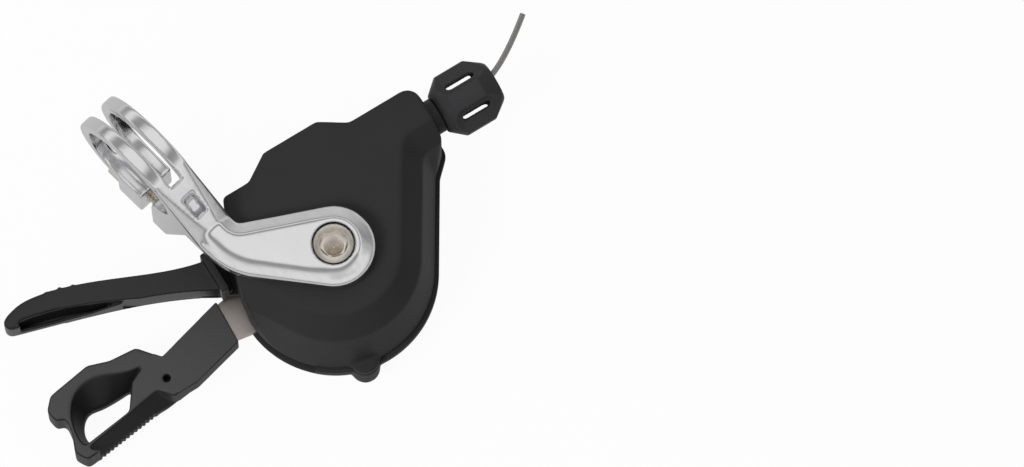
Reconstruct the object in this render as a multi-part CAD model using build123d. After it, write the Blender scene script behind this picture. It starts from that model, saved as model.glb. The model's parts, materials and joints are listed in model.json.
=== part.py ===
from build123d import *
import os
from math import acos, asin, atan2, cos, degrees, hypot, radians, sin, sqrt, tan

# Trigger gear shifter for a flat handlebar.
# Origin at the centre of the handlebar clamp, +X along the bar, +Z up through the cover.
# Driving dimensions, in millimetres and degrees.

# Handlebar clamp and its arm
bar_diameter = 22.2
loop_wall = 2.6
loop_width = 3.0
loop_gap = 2.8
bore_relief = 0.3
strap_angle = 128
bend_y = -17.6
slot_root_y = -10.0
pocket_start_y = -13.0
pocket_end_y = -17.0
pocket_half_width = 1.3
pocket_floor = 2.4
arm_top = 1.4
arm_bottom = -4.0
arm_bevel_width = 3.1
arm_bevel_height = 2.3
arm_left_bend_y = -28.0
arm_right_bend_y = -22.4
arm_left_round = 16.0
arm_right_round = 1.4
strap_bevel = 0.6
boss_radius = 8.4
lug_gap_y = -6.0
lug_gap = 2.8
lug_bridge_z = -9.0
lug_outer_y = 3.6
lug_below_bolt = 4.0
clamp_bolt_z = -17.6
clamp_bolt_radius = 2.5
clamp_bolt_end_y = -10.8
lug_root_y = -10.2
lug_shoulder_y = -16.5
lug_crown_y = 6.6
lug_crown_z = -13.3
socket_head_radius = 4.0
socket_head_height = 3.6
socket_across_flats = 5.0
socket_depth = 2.4
counterbore_gap = 0.4
socket_bevel = 0.5
bracket_bolt_depth = 8.0

# Place of the shifter unit under the arm
axle_x = 14.7
axle_y = -39.3
unit_angle = -13.4

# Body outline, about the axle, with the cable side to +X of the unit
top_margin = 0.7
spool_clearance = 0.62
pawl_clearance = 0.35
step_height = 3.6
step_left = -7.3
step_right = 16.3
step_slope = 5.6
body_left = -13.4
body_right = 31.2
shoulder_low = 9.4
waist_u = 27.6
waist_w = 6.0
corner_round = 3.0
shoulder_round = 2.0
cover_wall = 1.6
plateau_z = arm_bottom
ceiling_thickness = 2.0
shoulder_z = -9.5
seam_z = -23.6
lower_slope = 10.5
upper_slope = 37.0
skirt_left_angle = 210
rim_proud = 0.7
rim_height = 2.2
base_slope = 12.0
base_z = -33.6
floor_thickness = 1.4

# Fasteners of the covers
cover_screw_radius = 1.25
cover_screw_head = 2.2
cover_screw_head_height = 1.6
column_radius = 2.9
column_hole_gap = 0.1
ear_radius = 3.0
ear_centre_radius = 19.4
ear_angle = -103.5
ear_height = 2.4
left_screw_u = -9.0
left_screw_inset = 3.7
right_screw_u = 12.0
right_screw_inset = 0.6
column_screw_depth = 8.0
ear_screw_depth = 1.4
column_seat = 2.0
ear_seat = 4.8
ear_foot = 3.0

# Openings of the covers
slot_start_angle = 135
slot_end_angle = 227
release_slot_end_angle = 176
slot_inner = 6.0
adjuster_hole_gap = 0.35
plug_radius = 2.6
plug_inset = 1.2
plug_length = 4.5
plug_proud = 0.3
anchor_radius = 1.0
far = 70

# Axle and layers of the mechanism, from the top down
axle_radius = 4.0
axle_spigot_radius = 3.4
running_gap = 0.05
hub_radius = 6.0
spool_spring_top = -6.7
spool_spring_height = 2.2
spool_top = -10.2
spool_bottom = -14.4
holding_ratchet_top = -18.2
ratchet_thickness = 1.6
layer_gap = 0.3
release_plate_thickness = 1.5
lever_plate_thickness = 2.0
lever_spring_space = 1.7
base_plate_thickness = 1.5
axle_nut_height = 3.0
axle_stud_radius = 3.0
axle_nut_across_flats = 10.0

# Take-up spool and cable
cable_diameter = 1.2
groove_radius = 14.6
flange_lip = 0.9
drum_radius = 9.0
cable_wrap = 34
cable_bend_start = 38.6
cable_bend_angle = 26
cable_bend_radius = 9.0
cable_tip_length = 18.2

# Ratchets and pawls
tooth_count = 30
tooth_tip_radius = 11.0
tooth_root_radius = 9.7
pawl_pin_radius = 1.25
pin_clearance = 0.55
pawl_ring_radius = 2.4
pawl_span = 38
pawl_lift = 8
pawl_root = 8
nose_gap = 0.35
nose_lead = 0.6
nose_rise = 1.6
nose_crown = 4
nose_heel = 7.6
nose_toe = 6.2
tooth_gap = 0.45
pawl_pin_rise = 0.6
pawl_spring_angle = 157
holding_pawl_angle = 20
drive_pawl_angle = -130

# Base plate
base_plate_margin = 1.7
spring_wire = 0.8

# Main lever
stem_half_width = 4.0
stem_centre_w = 2.6
pad_top = -22.4
pad_bottom = -31.0
tooth_depth = 0.4
pad_tooth_count = 14

# Release lever
release_angle = 155.5
grip_top = -14.4
grip_bottom = -21.9
blade_reach = 38.0

# Barrel adjuster
collar_start = 31.4
collar_length = 2.0
collar_radius = 3.7
knob_length = 13.2
knob_radius = 6.8
knob_neck_radius = 4.2
knob_near_chamfer = 3.0
knob_far_chamfer = 3.6
knob_end_radius = 4.6
knob_end_bevel = 0.6
knob_chamber_radius = 4.3
knob_near_wall = 3.4
knob_far_wall = 2.4
casing_socket_radius = 3.6
scoop_count = 4
scoop_radius = 5.5
scoop_offset = 10.5
scoop_angle = 55
scoop_inset = 1.2
scoop_slot_shift = 0.4
scoop_slot_length = 6.4
scoop_slot_width = 1.9
adjuster_bolt_radius = 2.5
adjuster_bolt_bore = 0.9
adjuster_bolt_start = 21.5

# Small parts of the mechanism
press_gap = 0.02
groove_side_gap = 0.2
groove_floor_gap = 0.1
nipple_radius = 1.8
nipple_half = 1.6
nipple_inset = 1.0
nipple_lead = 7.6
spiral_gap = 0.6
spiral_pitch = 1.5
spiral_strip = 0.5
spiral_turns = 3
tooth_clear = 0.6
release_pin_radius = 0.7
release_pin_wall = 0.6
release_pin_reach = 12.55
cam_angle = 42
cam_radius = 11.6
cam_notch = 1.2
cam_inner = 4
cam_outer = 10
cam_foot = 14
release_ring_wall = 3.0
release_tab = 5.0
release_tab_out = 0.9
release_tab_width = 2.4
release_post_angle = -20
release_post_clearance = 0.4
release_coil_radius = 1.8
release_leg = 4.0
peg_radius = 1.0
lever_disc_radius = 13.0
lever_wire = 1.0
lever_coil_radius = 6.6
lever_coil_start = 120
lever_coil_end = 330
lever_leg = 9.0
pad_round = 1.0
pawl_coil_radius = 1.7
pawl_coil_turn = 250
pawl_leg = 4.5
pawl_wire = 0.6
foot_low = (19.0, 0)
foot_elbow = (24.4, 8.8)
foot_shoulder = 10.6
foot_right = 27.8
foot_top = 17.0
bracket_start = 21.8
bracket_end = 29.2
bracket_low = 11.6
bracket_boss_radius = 4.0
bracket_screw_radius = 1.5
bracket_screw_head = 2.6
bracket_screw_head_height = 1.8
bracket_screw_end = -21.5
bracket_screw_place = (25.0, 14.2)
stem_shoulder = -24.5
stem_tip = -38.0
stem_root = -8.0
stem_flare = 2.6
stem_tip_high = 1.6
stem_tip_low = -3.4
tooth_run_start = (-45.5, -5.2)
tooth_run_end = (-59.5, -7.0)
pad_hole = (-40.4, -1.2)
pad_hole_radius = 0.75
pad_hole_depth = 3.0

# Plan points of the main lever's pad: its outline, the mouth of its dish and the window below
pad_root_high = (-23.8, 7.1)
pad_neck = (-38.9, 3.1)
hook_start = (-42.5, 7.5)
hook_dip = (-48.4, 8.0)
hook_crown = (-52.8, 9.5)
hook_tip_high = (-62.3, 8.0)
hook_tip = (-64.5, 5.6)
hook_tip_low = (-64.1, 2.8)
hook_heel = (-62.1, 2.4)
leg_high = (-62.5, -0.8)
leg_low = (-64.1, -4.7)
pad_corner = (-62.6, -7.3)
pad_belly = (-35.5, -5.1)
pad_root_low = (-24.2, -2.3)
dish_right = (-42.2, 4.0)
dish_saddle = (-47.2, 4.6)
dish_crown = (-52.8, 6.9)
dish_left = (-57.8, 6.0)
dish_leg_high = (-60.3, 3.4)
dish_leg_low = (-61.7, -4.5)
ridge_middle = (-50.4, -3.1)
plate_corner = (-46.8, 1.9)
window_right = (-47.4, 1.6)
window_saddle = (-51.0, 1.4)
window_crown = (-54.6, 1.6)
window_left = (-57.2, 1.8)
window_leg_high = (-58.6, 0.9)
window_leg_low = (-60.0, -3.8)
window_low = (-50.0, -2.2)
window_plate = (-47.6, 1.1)
ridge_end = (-61.2, -5.1)
ridge_start = (-43.6, -2.2)
facet_edge = (-41.1, -5.15)
facet_low = -29.3
dish_floor = -28.0
block_bottom = -28.2
block_end = -37.5
block_slope_end = -42.5

# Plan points of the release lever's grip: its outline, the ridge of its groove and the lip below
grip_root_high = (-22.3, 13.9)
grip_back = (-37.2, 19.2)
grip_swell = (-52.7, 25.0)
grip_crown = (-58.7, 25.7)
grip_tip_high = (-62.2, 24.8)
grip_tip = (-63.4, 23.4)
grip_tip_low = (-62.3, 21.9)
grip_belly = (-51.4, 18.7)
grip_waist = (-36.5, 13.7)
grip_root_low = (-21.9, 6.6)
ridge_tip = (-60.6, 22.7)
ridge_swell = (-55.0, 21.5)
grip_ridge = (-46.0, 18.2)
ridge_root = (-37.6, 14.2)
lip_tip = (-60.6, 22.1)
lip_middle = (-51.2, 19.2)
lip_root = (-40.6, 15.6)
lip_top = -18.6
groove_floor = -21.2
flange_u = -22.6
flange_inner_u = -20.8
flange_high = 15.2
flange_low = 6.3
flange_proud = 0.8
neck_top = -17.0
lip_slope_start = -47.0
root_low_angle = 162.5
root_high_angle = 145
root_gap = 0.6
release_swing = 10
bump_first = (-47.4, 23.3)
bump_middle = (-50.0, 24.25)
bump_last = (-52.6, 25.0)
bump_radius = 0.45
blade_root = 5
slot_root = 15
blade_taper = 24
blade_half = 3.0
blade_tip_half = 1.4

# Values worked out from the driving dimensions
bore_radius = bar_diameter / 2
ring_radius = bore_radius + loop_wall
clamp_half = loop_width + loop_gap / 2
lug_bottom = clamp_bolt_z - lug_below_bolt
ceiling_z = plateau_z - ceiling_thickness
floor_z = base_z + floor_thickness
cable_z = (spool_top + spool_bottom) / 2
cable_radius = cable_diameter / 2
holding_ratchet_bottom = holding_ratchet_top - ratchet_thickness
release_plate_top = holding_ratchet_bottom - layer_gap
release_plate_bottom = release_plate_top - release_plate_thickness
drive_ratchet_top = release_plate_bottom - layer_gap
drive_ratchet_bottom = drive_ratchet_top - ratchet_thickness
lever_plate_top = drive_ratchet_bottom - layer_gap
lever_plate_bottom = lever_plate_top - lever_plate_thickness
base_plate_top = lever_plate_bottom - lever_spring_space
base_plate_bottom = base_plate_top - base_plate_thickness
axle_end_z = base_plate_bottom - axle_nut_height
pawl_pivot_radius = lever_disc_radius + pin_clearance + pawl_pin_radius
release_post_radius = lever_disc_radius + peg_radius + release_post_clearance
nipple_reach = groove_radius - nipple_inset
skirt_rise = tan(radians(lower_slope))
rim_for_spool = (groove_radius + flange_lip + spool_clearance + cover_wall
                 + (spool_top - seam_z) * skirt_rise)
rim_for_pawls = (pawl_pivot_radius + pawl_ring_radius + pawl_clearance + cover_wall
                 + (holding_ratchet_top - seam_z) * skirt_rise)
rim_radius = max(rim_for_spool, rim_for_pawls)
top_edge = rim_radius + top_margin
base_plate_radius = rim_radius - cover_wall - base_plate_margin
plug_start = plug_inset - rim_radius
plug_end = plug_start + plug_length
left_screw = (left_screw_u, top_edge - left_screw_inset)
right_screw = (right_screw_u, top_edge - right_screw_inset)
knob_start = collar_start + collar_length
knob_end = knob_start + knob_length
tooth_pitch = 360 / tooth_count
slot_top = release_plate_top + layer_gap
slot_bottom = lever_plate_bottom - layer_gap
lever_coil_z = (lever_plate_bottom + base_plate_top) / 2

unit = Pos(axle_x, axle_y, 0) * Rot(0, 0, unit_angle)
cable_line = Plane(origin=(0, groove_radius, cable_z), x_dir=(0, 1, 0), z_dir=(1, 0, 0)).location
pieces = {}


def polar(radius, angle, centre=(0, 0)):
    """Point at a radius and an angle from a centre."""
    return (centre[0] + radius * cos(radians(angle)), centre[1] + radius * sin(radians(angle)))


def layer(sketch, bottom, top):
    """Flat piece with the outline of a sketch, between two heights."""
    return extrude(Pos(0, 0, bottom) * sketch, amount=top - bottom, dir=(0, 0, 1))


def sloped(sketch, bottom, top, slope):
    """Solid that starts from a sketch at one height and narrows to another by a side slope."""
    up = (0, 0, 1) if top > bottom else (0, 0, -1)
    return extrude(Pos(0, 0, bottom) * sketch, amount=abs(top - bottom), dir=up, taper=slope)


def rod(radius, bottom, top, at=(0, 0)):
    """Upright round rod between two heights."""
    return Pos(at[0], at[1], (bottom + top) / 2) * Cylinder(radius, top - bottom)


def block(low, high):
    """Box between two corners."""
    middle = [(a + b) / 2 for a, b in zip(low, high)]
    size = [b - a for a, b in zip(low, high)]
    return Pos(*middle) * Box(*size)


def polygon(*points):
    """Closed flat face through a run of points."""
    return make_face(Polyline(*points, close=True))


def round_corner(sketch, point, radius):
    """Round the corner of a flat face that is nearest to a point."""
    corner = sketch.vertices().sort_by_distance(Vector(point[0], point[1], 0))[0]
    return fillet(corner, radius)


def touch_angle(point, radius, side):
    """Angle at which a line from a point touches a circle about the axle."""
    return degrees(atan2(point[1], point[0])) + side * degrees(acos(radius / hypot(*point)))


def touch_point(start, centre, radius, side):
    """Point at which a line from a start point touches a circle."""
    run = (centre[0] - start[0], centre[1] - start[1])
    reach = hypot(*run)
    turn = atan2(run[1], run[0]) + side * asin(radius / reach)
    length = sqrt(reach**2 - radius**2)
    return (start[0] + length * cos(turn), start[1] + length * sin(turn))


def hex_prism(across_flats, bottom, top):
    """Upright hexagonal prism between two heights."""
    return layer(RegularPolygon(across_flats / 2, 6, major_radius=False), bottom, top)


def leg_foot(angle, turn):
    """Place of the peg that a leg of the main lever's spring leans on."""
    along = polar(lever_leg - peg_radius, angle + turn, polar(lever_coil_radius, angle))
    return polar(peg_radius + lever_wire / 2 + press_gap, angle, along)


# Places about the axle
holding_pivot = polar(pawl_pivot_radius, holding_pawl_angle)
drive_pivot = polar(pawl_pivot_radius, drive_pawl_angle)
lever_post_place = leg_foot(lever_coil_start, -90)
lever_peg_place = leg_foot(lever_coil_end, 90)
release_post_place = polar(release_post_radius, release_post_angle)
release_pin_place = polar(release_pin_reach, cam_angle)
nipple_place = polar(nipple_reach, 90 + cable_wrap + nipple_lead)
ear_centre = polar(ear_centre_radius, ear_angle)
screw_places = [left_screw, right_screw, ear_centre]


# Handlebar clamp, arm and boss, cast in one piece
def clamp_bracket():
    strap = polar(ring_radius, strap_angle)
    foot = (strap_y(arm_top), arm_top)
    root = polygon(strap, foot, (foot[0], arm_bottom), (lug_shoulder_y, arm_bottom),
                   (lug_root_y, lug_bottom), (lug_gap_y, lug_bottom), (lug_gap_y, 0))
    free_y = lug_gap_y + lug_gap
    free_lug = polygon((free_y, lug_bridge_z), (free_y, lug_bottom), (lug_outer_y, lug_bottom),
                       (lug_outer_y, lug_crown_z), (lug_crown_y, -bore_radius), (lug_crown_y, lug_bridge_z))
    profile = Circle(ring_radius) + root + free_lug - Circle(bore_radius)
    gap_depth = lug_bridge_z - lug_bottom
    profile -= Pos((lug_gap_y + free_y) / 2, lug_bottom) * Rectangle(lug_gap, 2 * gap_depth)
    solid = extrude(Plane.YZ * profile, amount=clamp_half, both=True)
    half_gap = loop_gap / 2
    reach = ring_radius + 1
    slot = block((-half_gap, slot_root_y, lug_bridge_z), (half_gap, reach, reach))
    slot += block((-half_gap, lug_crown_y, -reach), (half_gap, reach, lug_bridge_z))
    solid -= slot
    relief = Rot(0, 90, 0) * Cylinder(bore_radius + bore_relief, loop_gap)
    solid -= relief + strap_side(strap, foot) + mirror(strap_side(strap, foot), Plane.YZ)
    centre = (axle_x, axle_y)
    left_bend = (-clamp_half, arm_left_bend_y)
    right_bend = (clamp_half, arm_right_bend_y)
    plan = polygon((-clamp_half, bend_y), left_bend, touch_point(left_bend, centre, boss_radius, -1),
                   touch_point(right_bend, centre, boss_radius, 1), right_bend, (clamp_half, bend_y))
    plan = round_corner(plan, left_bend, arm_left_round)
    plan = round_corner(plan, right_bend, arm_right_round)
    plan = plan + Pos(*centre) * Circle(boss_radius)
    arm = layer(plan, arm_bottom, arm_top)
    top = arm.faces().sort_by(Axis.Z)[-1]
    rim = [e for e in top.edges() if e.center().Y < bend_y - 0.1]
    solid += chamfer(rim, arm_bevel_width, arm_bevel_height, reference=top)
    solid -= strap_pocket()
    head_seat = arm_top - socket_head_height
    solid -= rod(socket_head_radius + counterbore_gap, head_seat, arm_top + 1, centre)
    solid -= rod(clamp_bolt_radius + running_gap, arm_bottom - 1, arm_top, centre)
    bolt_hole = Pos(0, 0, clamp_bolt_z) * Rot(90, 0, 0) * Cylinder(clamp_bolt_radius + running_gap, far)
    return solid - bolt_hole


def strap_y(height):
    """Place along Y at which the strap's upper side has a height."""
    start = polar(ring_radius, strap_angle)
    return start[0] - (start[1] - height) * tan(radians(180 - strap_angle))


def strap_side(start, end):
    """Wedge off one side of the strap: a narrow bevel at the loops that grows to the arm's bevel."""
    sections = []
    ends = ((start, strap_bevel, strap_bevel), (end, arm_bevel_width, arm_bevel_height))
    for place, width, height in ends:
        corners = [(clamp_half - width, place[1]), (clamp_half + width, place[1] - 2 * height),
                   (clamp_half + width, ring_radius)]
        wire = Wire.make_polygon([Vector(x, place[0], z) for x, z in corners], close=True)
        sections.append(Face(wire))
    return loft(sections, ruled=True)


def strap_pocket():
    """Recess in the strap's upper side, between the loops and the arm."""
    start = polar(ring_radius, strap_angle)
    rise = 1 / tan(radians(180 - strap_angle))
    start_z = start[1] + rise * (pocket_start_y - start[0]) - pocket_floor
    end_z = start[1] + rise * (pocket_end_y - start[0]) - pocket_floor
    side = polygon((pocket_start_y, start_z), (pocket_start_y, ring_radius), (pocket_end_y, ring_radius),
                   (pocket_end_y, end_z))
    return extrude(Plane.YZ * side, amount=pocket_half_width, both=True)


def socket_bolt(shank_length):
    """Socket-head bolt with its head's seat at height 0 and its shank down."""
    head = rod(socket_head_radius, 0, socket_head_height)
    head = chamfer(head.edges().group_by(Axis.Z)[-1], socket_bevel)
    head -= hex_prism(socket_across_flats, socket_head_height - socket_depth, socket_head_height + 1)
    return head + rod(clamp_bolt_radius, -shank_length, 0)


pieces["clamp_bracket"] = clamp_bracket()
pieces["clamp_bolt"] = (Pos(0, lug_outer_y, clamp_bolt_z) * Rot(-90, 0, 0)
                        * socket_bolt(lug_outer_y - clamp_bolt_end_y))
pieces["bracket_bolt"] = (Pos(axle_x, axle_y, arm_top - socket_head_height)
                          * socket_bolt(arm_top - socket_head_height - arm_bottom + bracket_bolt_depth))


# Covers, drawn about the axle and then set at the unit's place
left_corner = (body_left, top_edge)
waist = (waist_u, waist_w)
rim_start_angle = touch_angle(waist, rim_radius, -1)
rim_end_angle = touch_angle(left_corner, rim_radius, 1) - 360


def rim_arc(start_angle, end_angle):
    """Arc of the rim between two angles."""
    ends = (polar(rim_radius, start_angle), polar(rim_radius, end_angle))
    return ThreePointArc(ends[0], polar(rim_radius, (start_angle + end_angle) / 2), ends[1])


def body_outline(grow):
    """Plan outline of the body, grown by a distance."""
    step = top_edge + step_height
    upper = Polyline(polar(rim_radius, rim_start_angle), waist, (body_right, shoulder_low),
                     (body_right, top_edge), (step_right, top_edge), (step_right - step_slope, step),
                     (step_left + step_slope, step), (step_left, top_edge), left_corner,
                     polar(rim_radius, rim_end_angle))
    face = make_face([upper, rim_arc(rim_end_angle, rim_start_angle)])
    face = round_corner(face, (body_right, top_edge), corner_round)
    face = round_corner(face, (body_right, shoulder_low), shoulder_round)
    return offset(face, amount=grow, kind=Kind.INTERSECTION) if grow else face


def skirt_outline(grow):
    """Plan outline of the sloping skirt at the seam: it follows the rim below and to the right."""
    turn = radians(skirt_left_angle)
    left_touch = polar(rim_radius, skirt_left_angle)
    left_far = (left_touch[0] + far * sin(turn), left_touch[1] - far * cos(turn))
    sides = Polyline(polar(rim_radius, rim_start_angle), waist, (far, waist_w), (far, far),
                     (left_far[0], far), left_far, left_touch)
    face = make_face([sides, rim_arc(skirt_left_angle - 360, rim_start_angle)])
    return offset(face, amount=grow, kind=Kind.INTERSECTION) if grow else face


def cover_form(grow, top):
    """Solid form of the top cover: upright walls cut by the two slopes of the skirt."""
    rise = shoulder_z - seam_z
    lower = sloped(skirt_outline(grow), seam_z, shoulder_z, lower_slope)
    shoulder = skirt_outline(grow - rise * tan(radians(lower_slope)))
    upper = sloped(shoulder, shoulder_z, top, upper_slope)
    return layer(body_outline(grow), seam_z, top) & (lower + upper)


def lever_slot(end_angle, bottom, top):
    """Wedge through which a lever leaves the body."""
    middle = (slot_start_angle + end_angle) / 2
    wedge = polygon((0, 0), polar(far, slot_start_angle), polar(far, middle), polar(far, end_angle))
    return layer(wedge, bottom, top) - rod(rim_radius - slot_inner, bottom, top)


def along_cable(radius, start, end):
    """Round rod along the cable's line, between two distances from the axle."""
    return cable_line * rod(radius, start, end)


def top_cover():
    shell = cover_form(0, plateau_z) - cover_form(-cover_wall, ceiling_z)
    for place in (left_screw, right_screw):
        shell += rod(column_radius, seam_z, ceiling_z, place) & cover_form(-cover_wall / 2, ceiling_z)
    spiral_end = hub_radius + spiral_gap + spiral_turns * spiral_pitch + spiral_strip / 2
    anchor = (spiral_end + anchor_radius + press_gap, 0)
    anchor_foot = spool_spring_top - spool_spring_height
    shell += rod(anchor_radius, anchor_foot, plateau_z - ceiling_thickness / 2, anchor)
    ear = rod(ear_radius, seam_z, seam_z + ear_height, ear_centre)
    shell += ear - rod(rim_radius - cover_wall, seam_z, 0)
    hole_radius = cover_screw_radius + column_hole_gap
    for place in (left_screw, right_screw):
        shell -= rod(hole_radius, seam_z - 1, seam_z + column_screw_depth + 1, place)
    shell -= rod(hole_radius, seam_z - 1, seam_z + ear_screw_depth + running_gap, ear_centre)
    shell -= rod(axle_spigot_radius + running_gap, ceiling_z - 1, plateau_z + 1)
    shell -= along_cable(adjuster_bolt_radius + adjuster_hole_gap, bracket_end, far)
    shell -= along_cable(plug_radius + running_gap, plug_start - far, plug_end)
    return shell - lever_slot(release_slot_end_angle, seam_z - 1, slot_top)


def bottom_cover():
    outer = layer(body_outline(rim_proud), seam_z - rim_height, seam_z)
    rim_z = seam_z - rim_height
    outer += sloped(body_outline(rim_proud), rim_z, base_z, base_slope)
    cavity = layer(body_outline(-cover_wall), rim_z, seam_z)
    cavity += sloped(body_outline(-cover_wall), rim_z, floor_z, base_slope)
    shell = outer - cavity
    for place in (left_screw, right_screw):
        shell += rod(column_radius, base_z, seam_z, place) & outer
    ear = rod(ear_radius, base_z + ear_foot, seam_z, ear_centre)
    shell += ear - rod(rim_radius - cover_wall, base_z, seam_z)
    for place in screw_places:
        shell -= rod(cover_screw_radius + column_hole_gap, base_z - 1, seam_z + 1, place)
        shell -= rod(cover_screw_head + column_hole_gap, base_z - 1, screw_seat(place), place)
    return shell - lever_slot(slot_end_angle, slot_bottom, seam_z + 1)


def screw_seat(place):
    """Height at which a cover screw's head seats."""
    return base_z + (ear_seat if place == ear_centre else column_seat)


def cover_screw(place):
    """Pan-head screw that comes up from below, with a cross slot left to the finish."""
    seat = screw_seat(place)
    end = seam_z + (ear_screw_depth if place == ear_centre else column_screw_depth)
    return (rod(cover_screw_head, seat - cover_screw_head_height, seat, place)
            + rod(cover_screw_radius, seat, end, place))


def cable_hole_plug():
    """Screw plug in line with the cable, on the side away from the adjuster."""
    plug = along_cable(plug_radius, plug_start, plug_end)
    plug &= cover_form(plug_proud, plateau_z)
    return plug


pieces["top_cover"] = unit * top_cover()
pieces["bottom_cover"] = unit * bottom_cover()
pieces["cover_screws"] = unit * Compound([cover_screw(place) for place in screw_places])
pieces["cable_hole_plug"] = unit * cable_hole_plug()


# Axle, nut and base plate
def main_axle():
    axle = rod(axle_radius, base_plate_top, ceiling_z)
    axle += rod(axle_spigot_radius, ceiling_z, plateau_z)
    axle += rod(axle_stud_radius, axle_end_z, base_plate_top)
    return axle - rod(clamp_bolt_radius + running_gap, arm_bottom - bracket_bolt_depth - 1, plateau_z + 1)


def base_plate():
    foot = polygon((hub_radius, 0), foot_low, foot_elbow, (foot_right, foot_shoulder),
                   (foot_right, foot_top), (hub_radius, foot_top))
    plate = layer(Circle(base_plate_radius) + foot, base_plate_bottom, base_plate_top)
    plate -= rod(axle_stud_radius + press_gap, base_plate_bottom - 1, base_plate_top + 1)
    plate -= rod(column_radius + layer_gap, base_plate_bottom - 1, base_plate_top + 1, left_screw)
    pins = {holding_pivot: pawl_pin_radius, lever_post_place: peg_radius, release_post_place: peg_radius,
            bracket_screw_place: bracket_screw_radius}
    for place, radius in pins.items():
        plate -= rod(radius + press_gap, base_plate_bottom - 1, base_plate_top + 1, place)
    return plate


def adjuster_bracket():
    """Cast block on the base plate that takes the adjuster's thread."""
    leg = block((bracket_start, bracket_low, base_plate_top), (bracket_end - 1, foot_top, cable_z))
    block_solid = leg + along_cable(bracket_boss_radius, bracket_start, bracket_end)
    block_solid -= along_cable(adjuster_bolt_radius + running_gap, 0, far)
    return block_solid - rod(bracket_screw_radius + press_gap, 2 * base_plate_top, bracket_screw_end,
                             bracket_screw_place)


def bracket_screw():
    head = rod(bracket_screw_head, base_plate_bottom - bracket_screw_head_height, base_plate_bottom,
               bracket_screw_place)
    end = bracket_screw_end - layer_gap
    return head + rod(bracket_screw_radius, base_plate_bottom, end, bracket_screw_place)


def axle_nut():
    nut = hex_prism(axle_nut_across_flats, axle_end_z, base_plate_bottom)
    return nut - rod(axle_stud_radius + press_gap, axle_end_z - 1, base_plate_bottom + 1)


# Wire springs
def torsion_wire(centre, radius, start, end, first_leg, second_leg, wire, height):
    """Bent wire: a leg, an arc anticlockwise about a centre, and a second leg."""
    first = polar(radius, start, centre)
    last = polar(radius, end, centre)
    first_tip = polar(first_leg, start - 90, first)
    last_tip = polar(second_leg, end + 90, last)
    path = Wire([Line(first_tip, first).edge(),
                 ThreePointArc(first, polar(radius, (start + end) / 2, centre), last).edge(),
                 Line(last, last_tip).edge()])
    section = Plane(origin=path.position_at(0), z_dir=path.tangent_at(0)) * Circle(wire / 2)
    return Pos(0, 0, height) * sweep(section, path=path)


def pawl_spring(angle, height):
    """Hairpin spring round a pawl's pin, with one leg along the pawl."""
    pivot = polar(pawl_pivot_radius, angle)
    start = angle + pawl_spring_angle
    end = start + pawl_coil_turn
    return torsion_wire(pivot, pawl_coil_radius, start, end, pawl_leg, pawl_leg, pawl_wire, height)


def spool_spring():
    """Flat spiral spring of half rings, wound about the spool's hub."""
    inner = hub_radius + spiral_gap
    half = 3 * groove_radius
    upper_side = Pos(0, half / 2) * Rectangle(half, half)
    lower_side = Pos(0, -half / 2) * Rectangle(half, half)
    strip = Sketch()
    for turn in range(spiral_turns):
        radius = inner + turn * spiral_pitch
        shifted = radius + spiral_pitch / 2
        strip += (Circle(radius + spiral_strip / 2) - Circle(radius - spiral_strip / 2)) & upper_side
        ring = Circle(shifted + spiral_strip / 2) - Circle(shifted - spiral_strip / 2)
        strip += (Pos(spiral_pitch / 2, 0) * ring) & lower_side
    return layer(strip, spool_spring_top - spool_spring_height, spool_spring_top)


# Take-up spool with its cable and ratchets
def take_up_spool():
    lip = groove_radius + flange_lip
    spool = rod(lip, spool_bottom, spool_top) + rod(drum_radius, holding_ratchet_top, spool_bottom)
    spool += rod(hub_radius, drive_ratchet_bottom, spool_spring_top)
    spool -= rod(axle_radius + running_gap, drive_ratchet_bottom - 1, ceiling_z)
    half_groove = cable_radius + groove_side_gap
    floor = groove_radius - cable_radius - groove_floor_gap
    spool -= rod(lip + 1, cable_z - half_groove, cable_z + half_groove) - rod(floor, spool_bottom, spool_top)
    return spool - rod(nipple_radius + press_gap, cable_z - nipple_half, spool_top + 1, nipple_place)


def inner_cable():
    """Steel wire from the nipple, round the groove, through the adjuster and out to its cut end."""
    tangent = (0, groove_radius)
    bend_centre = (cable_bend_start, groove_radius + cable_bend_radius)
    bend_end = polar(cable_bend_radius, cable_bend_angle - 90, bend_centre)
    bend_middle = polar(cable_bend_radius, cable_bend_angle / 2 - 90, bend_centre)
    wrap = ThreePointArc(polar(groove_radius, 90 + cable_wrap), polar(groove_radius, 90 + cable_wrap / 2),
                         tangent)
    path = Wire([wrap.edge(), Line(tangent, (cable_bend_start, groove_radius)).edge(),
                 ThreePointArc((cable_bend_start, groove_radius), bend_middle, bend_end).edge(),
                 Line(bend_end, polar(cable_tip_length, cable_bend_angle, bend_end)).edge()])
    section = Plane(origin=path.position_at(0), z_dir=path.tangent_at(0)) * Circle(cable_radius)
    return Pos(0, 0, cable_z) * sweep(section, path=path)


def ratchet(bottom, top, phase):
    """Ring of saw teeth whose steep faces look clockwise."""
    points = []
    for tooth in range(tooth_count):
        angle = phase + tooth * tooth_pitch
        points += [polar(tooth_root_radius, angle), polar(tooth_tip_radius, angle)]
    return layer(polygon(*points), bottom, top) - rod(hub_radius + press_gap, bottom - 1, top + 1)


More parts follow.
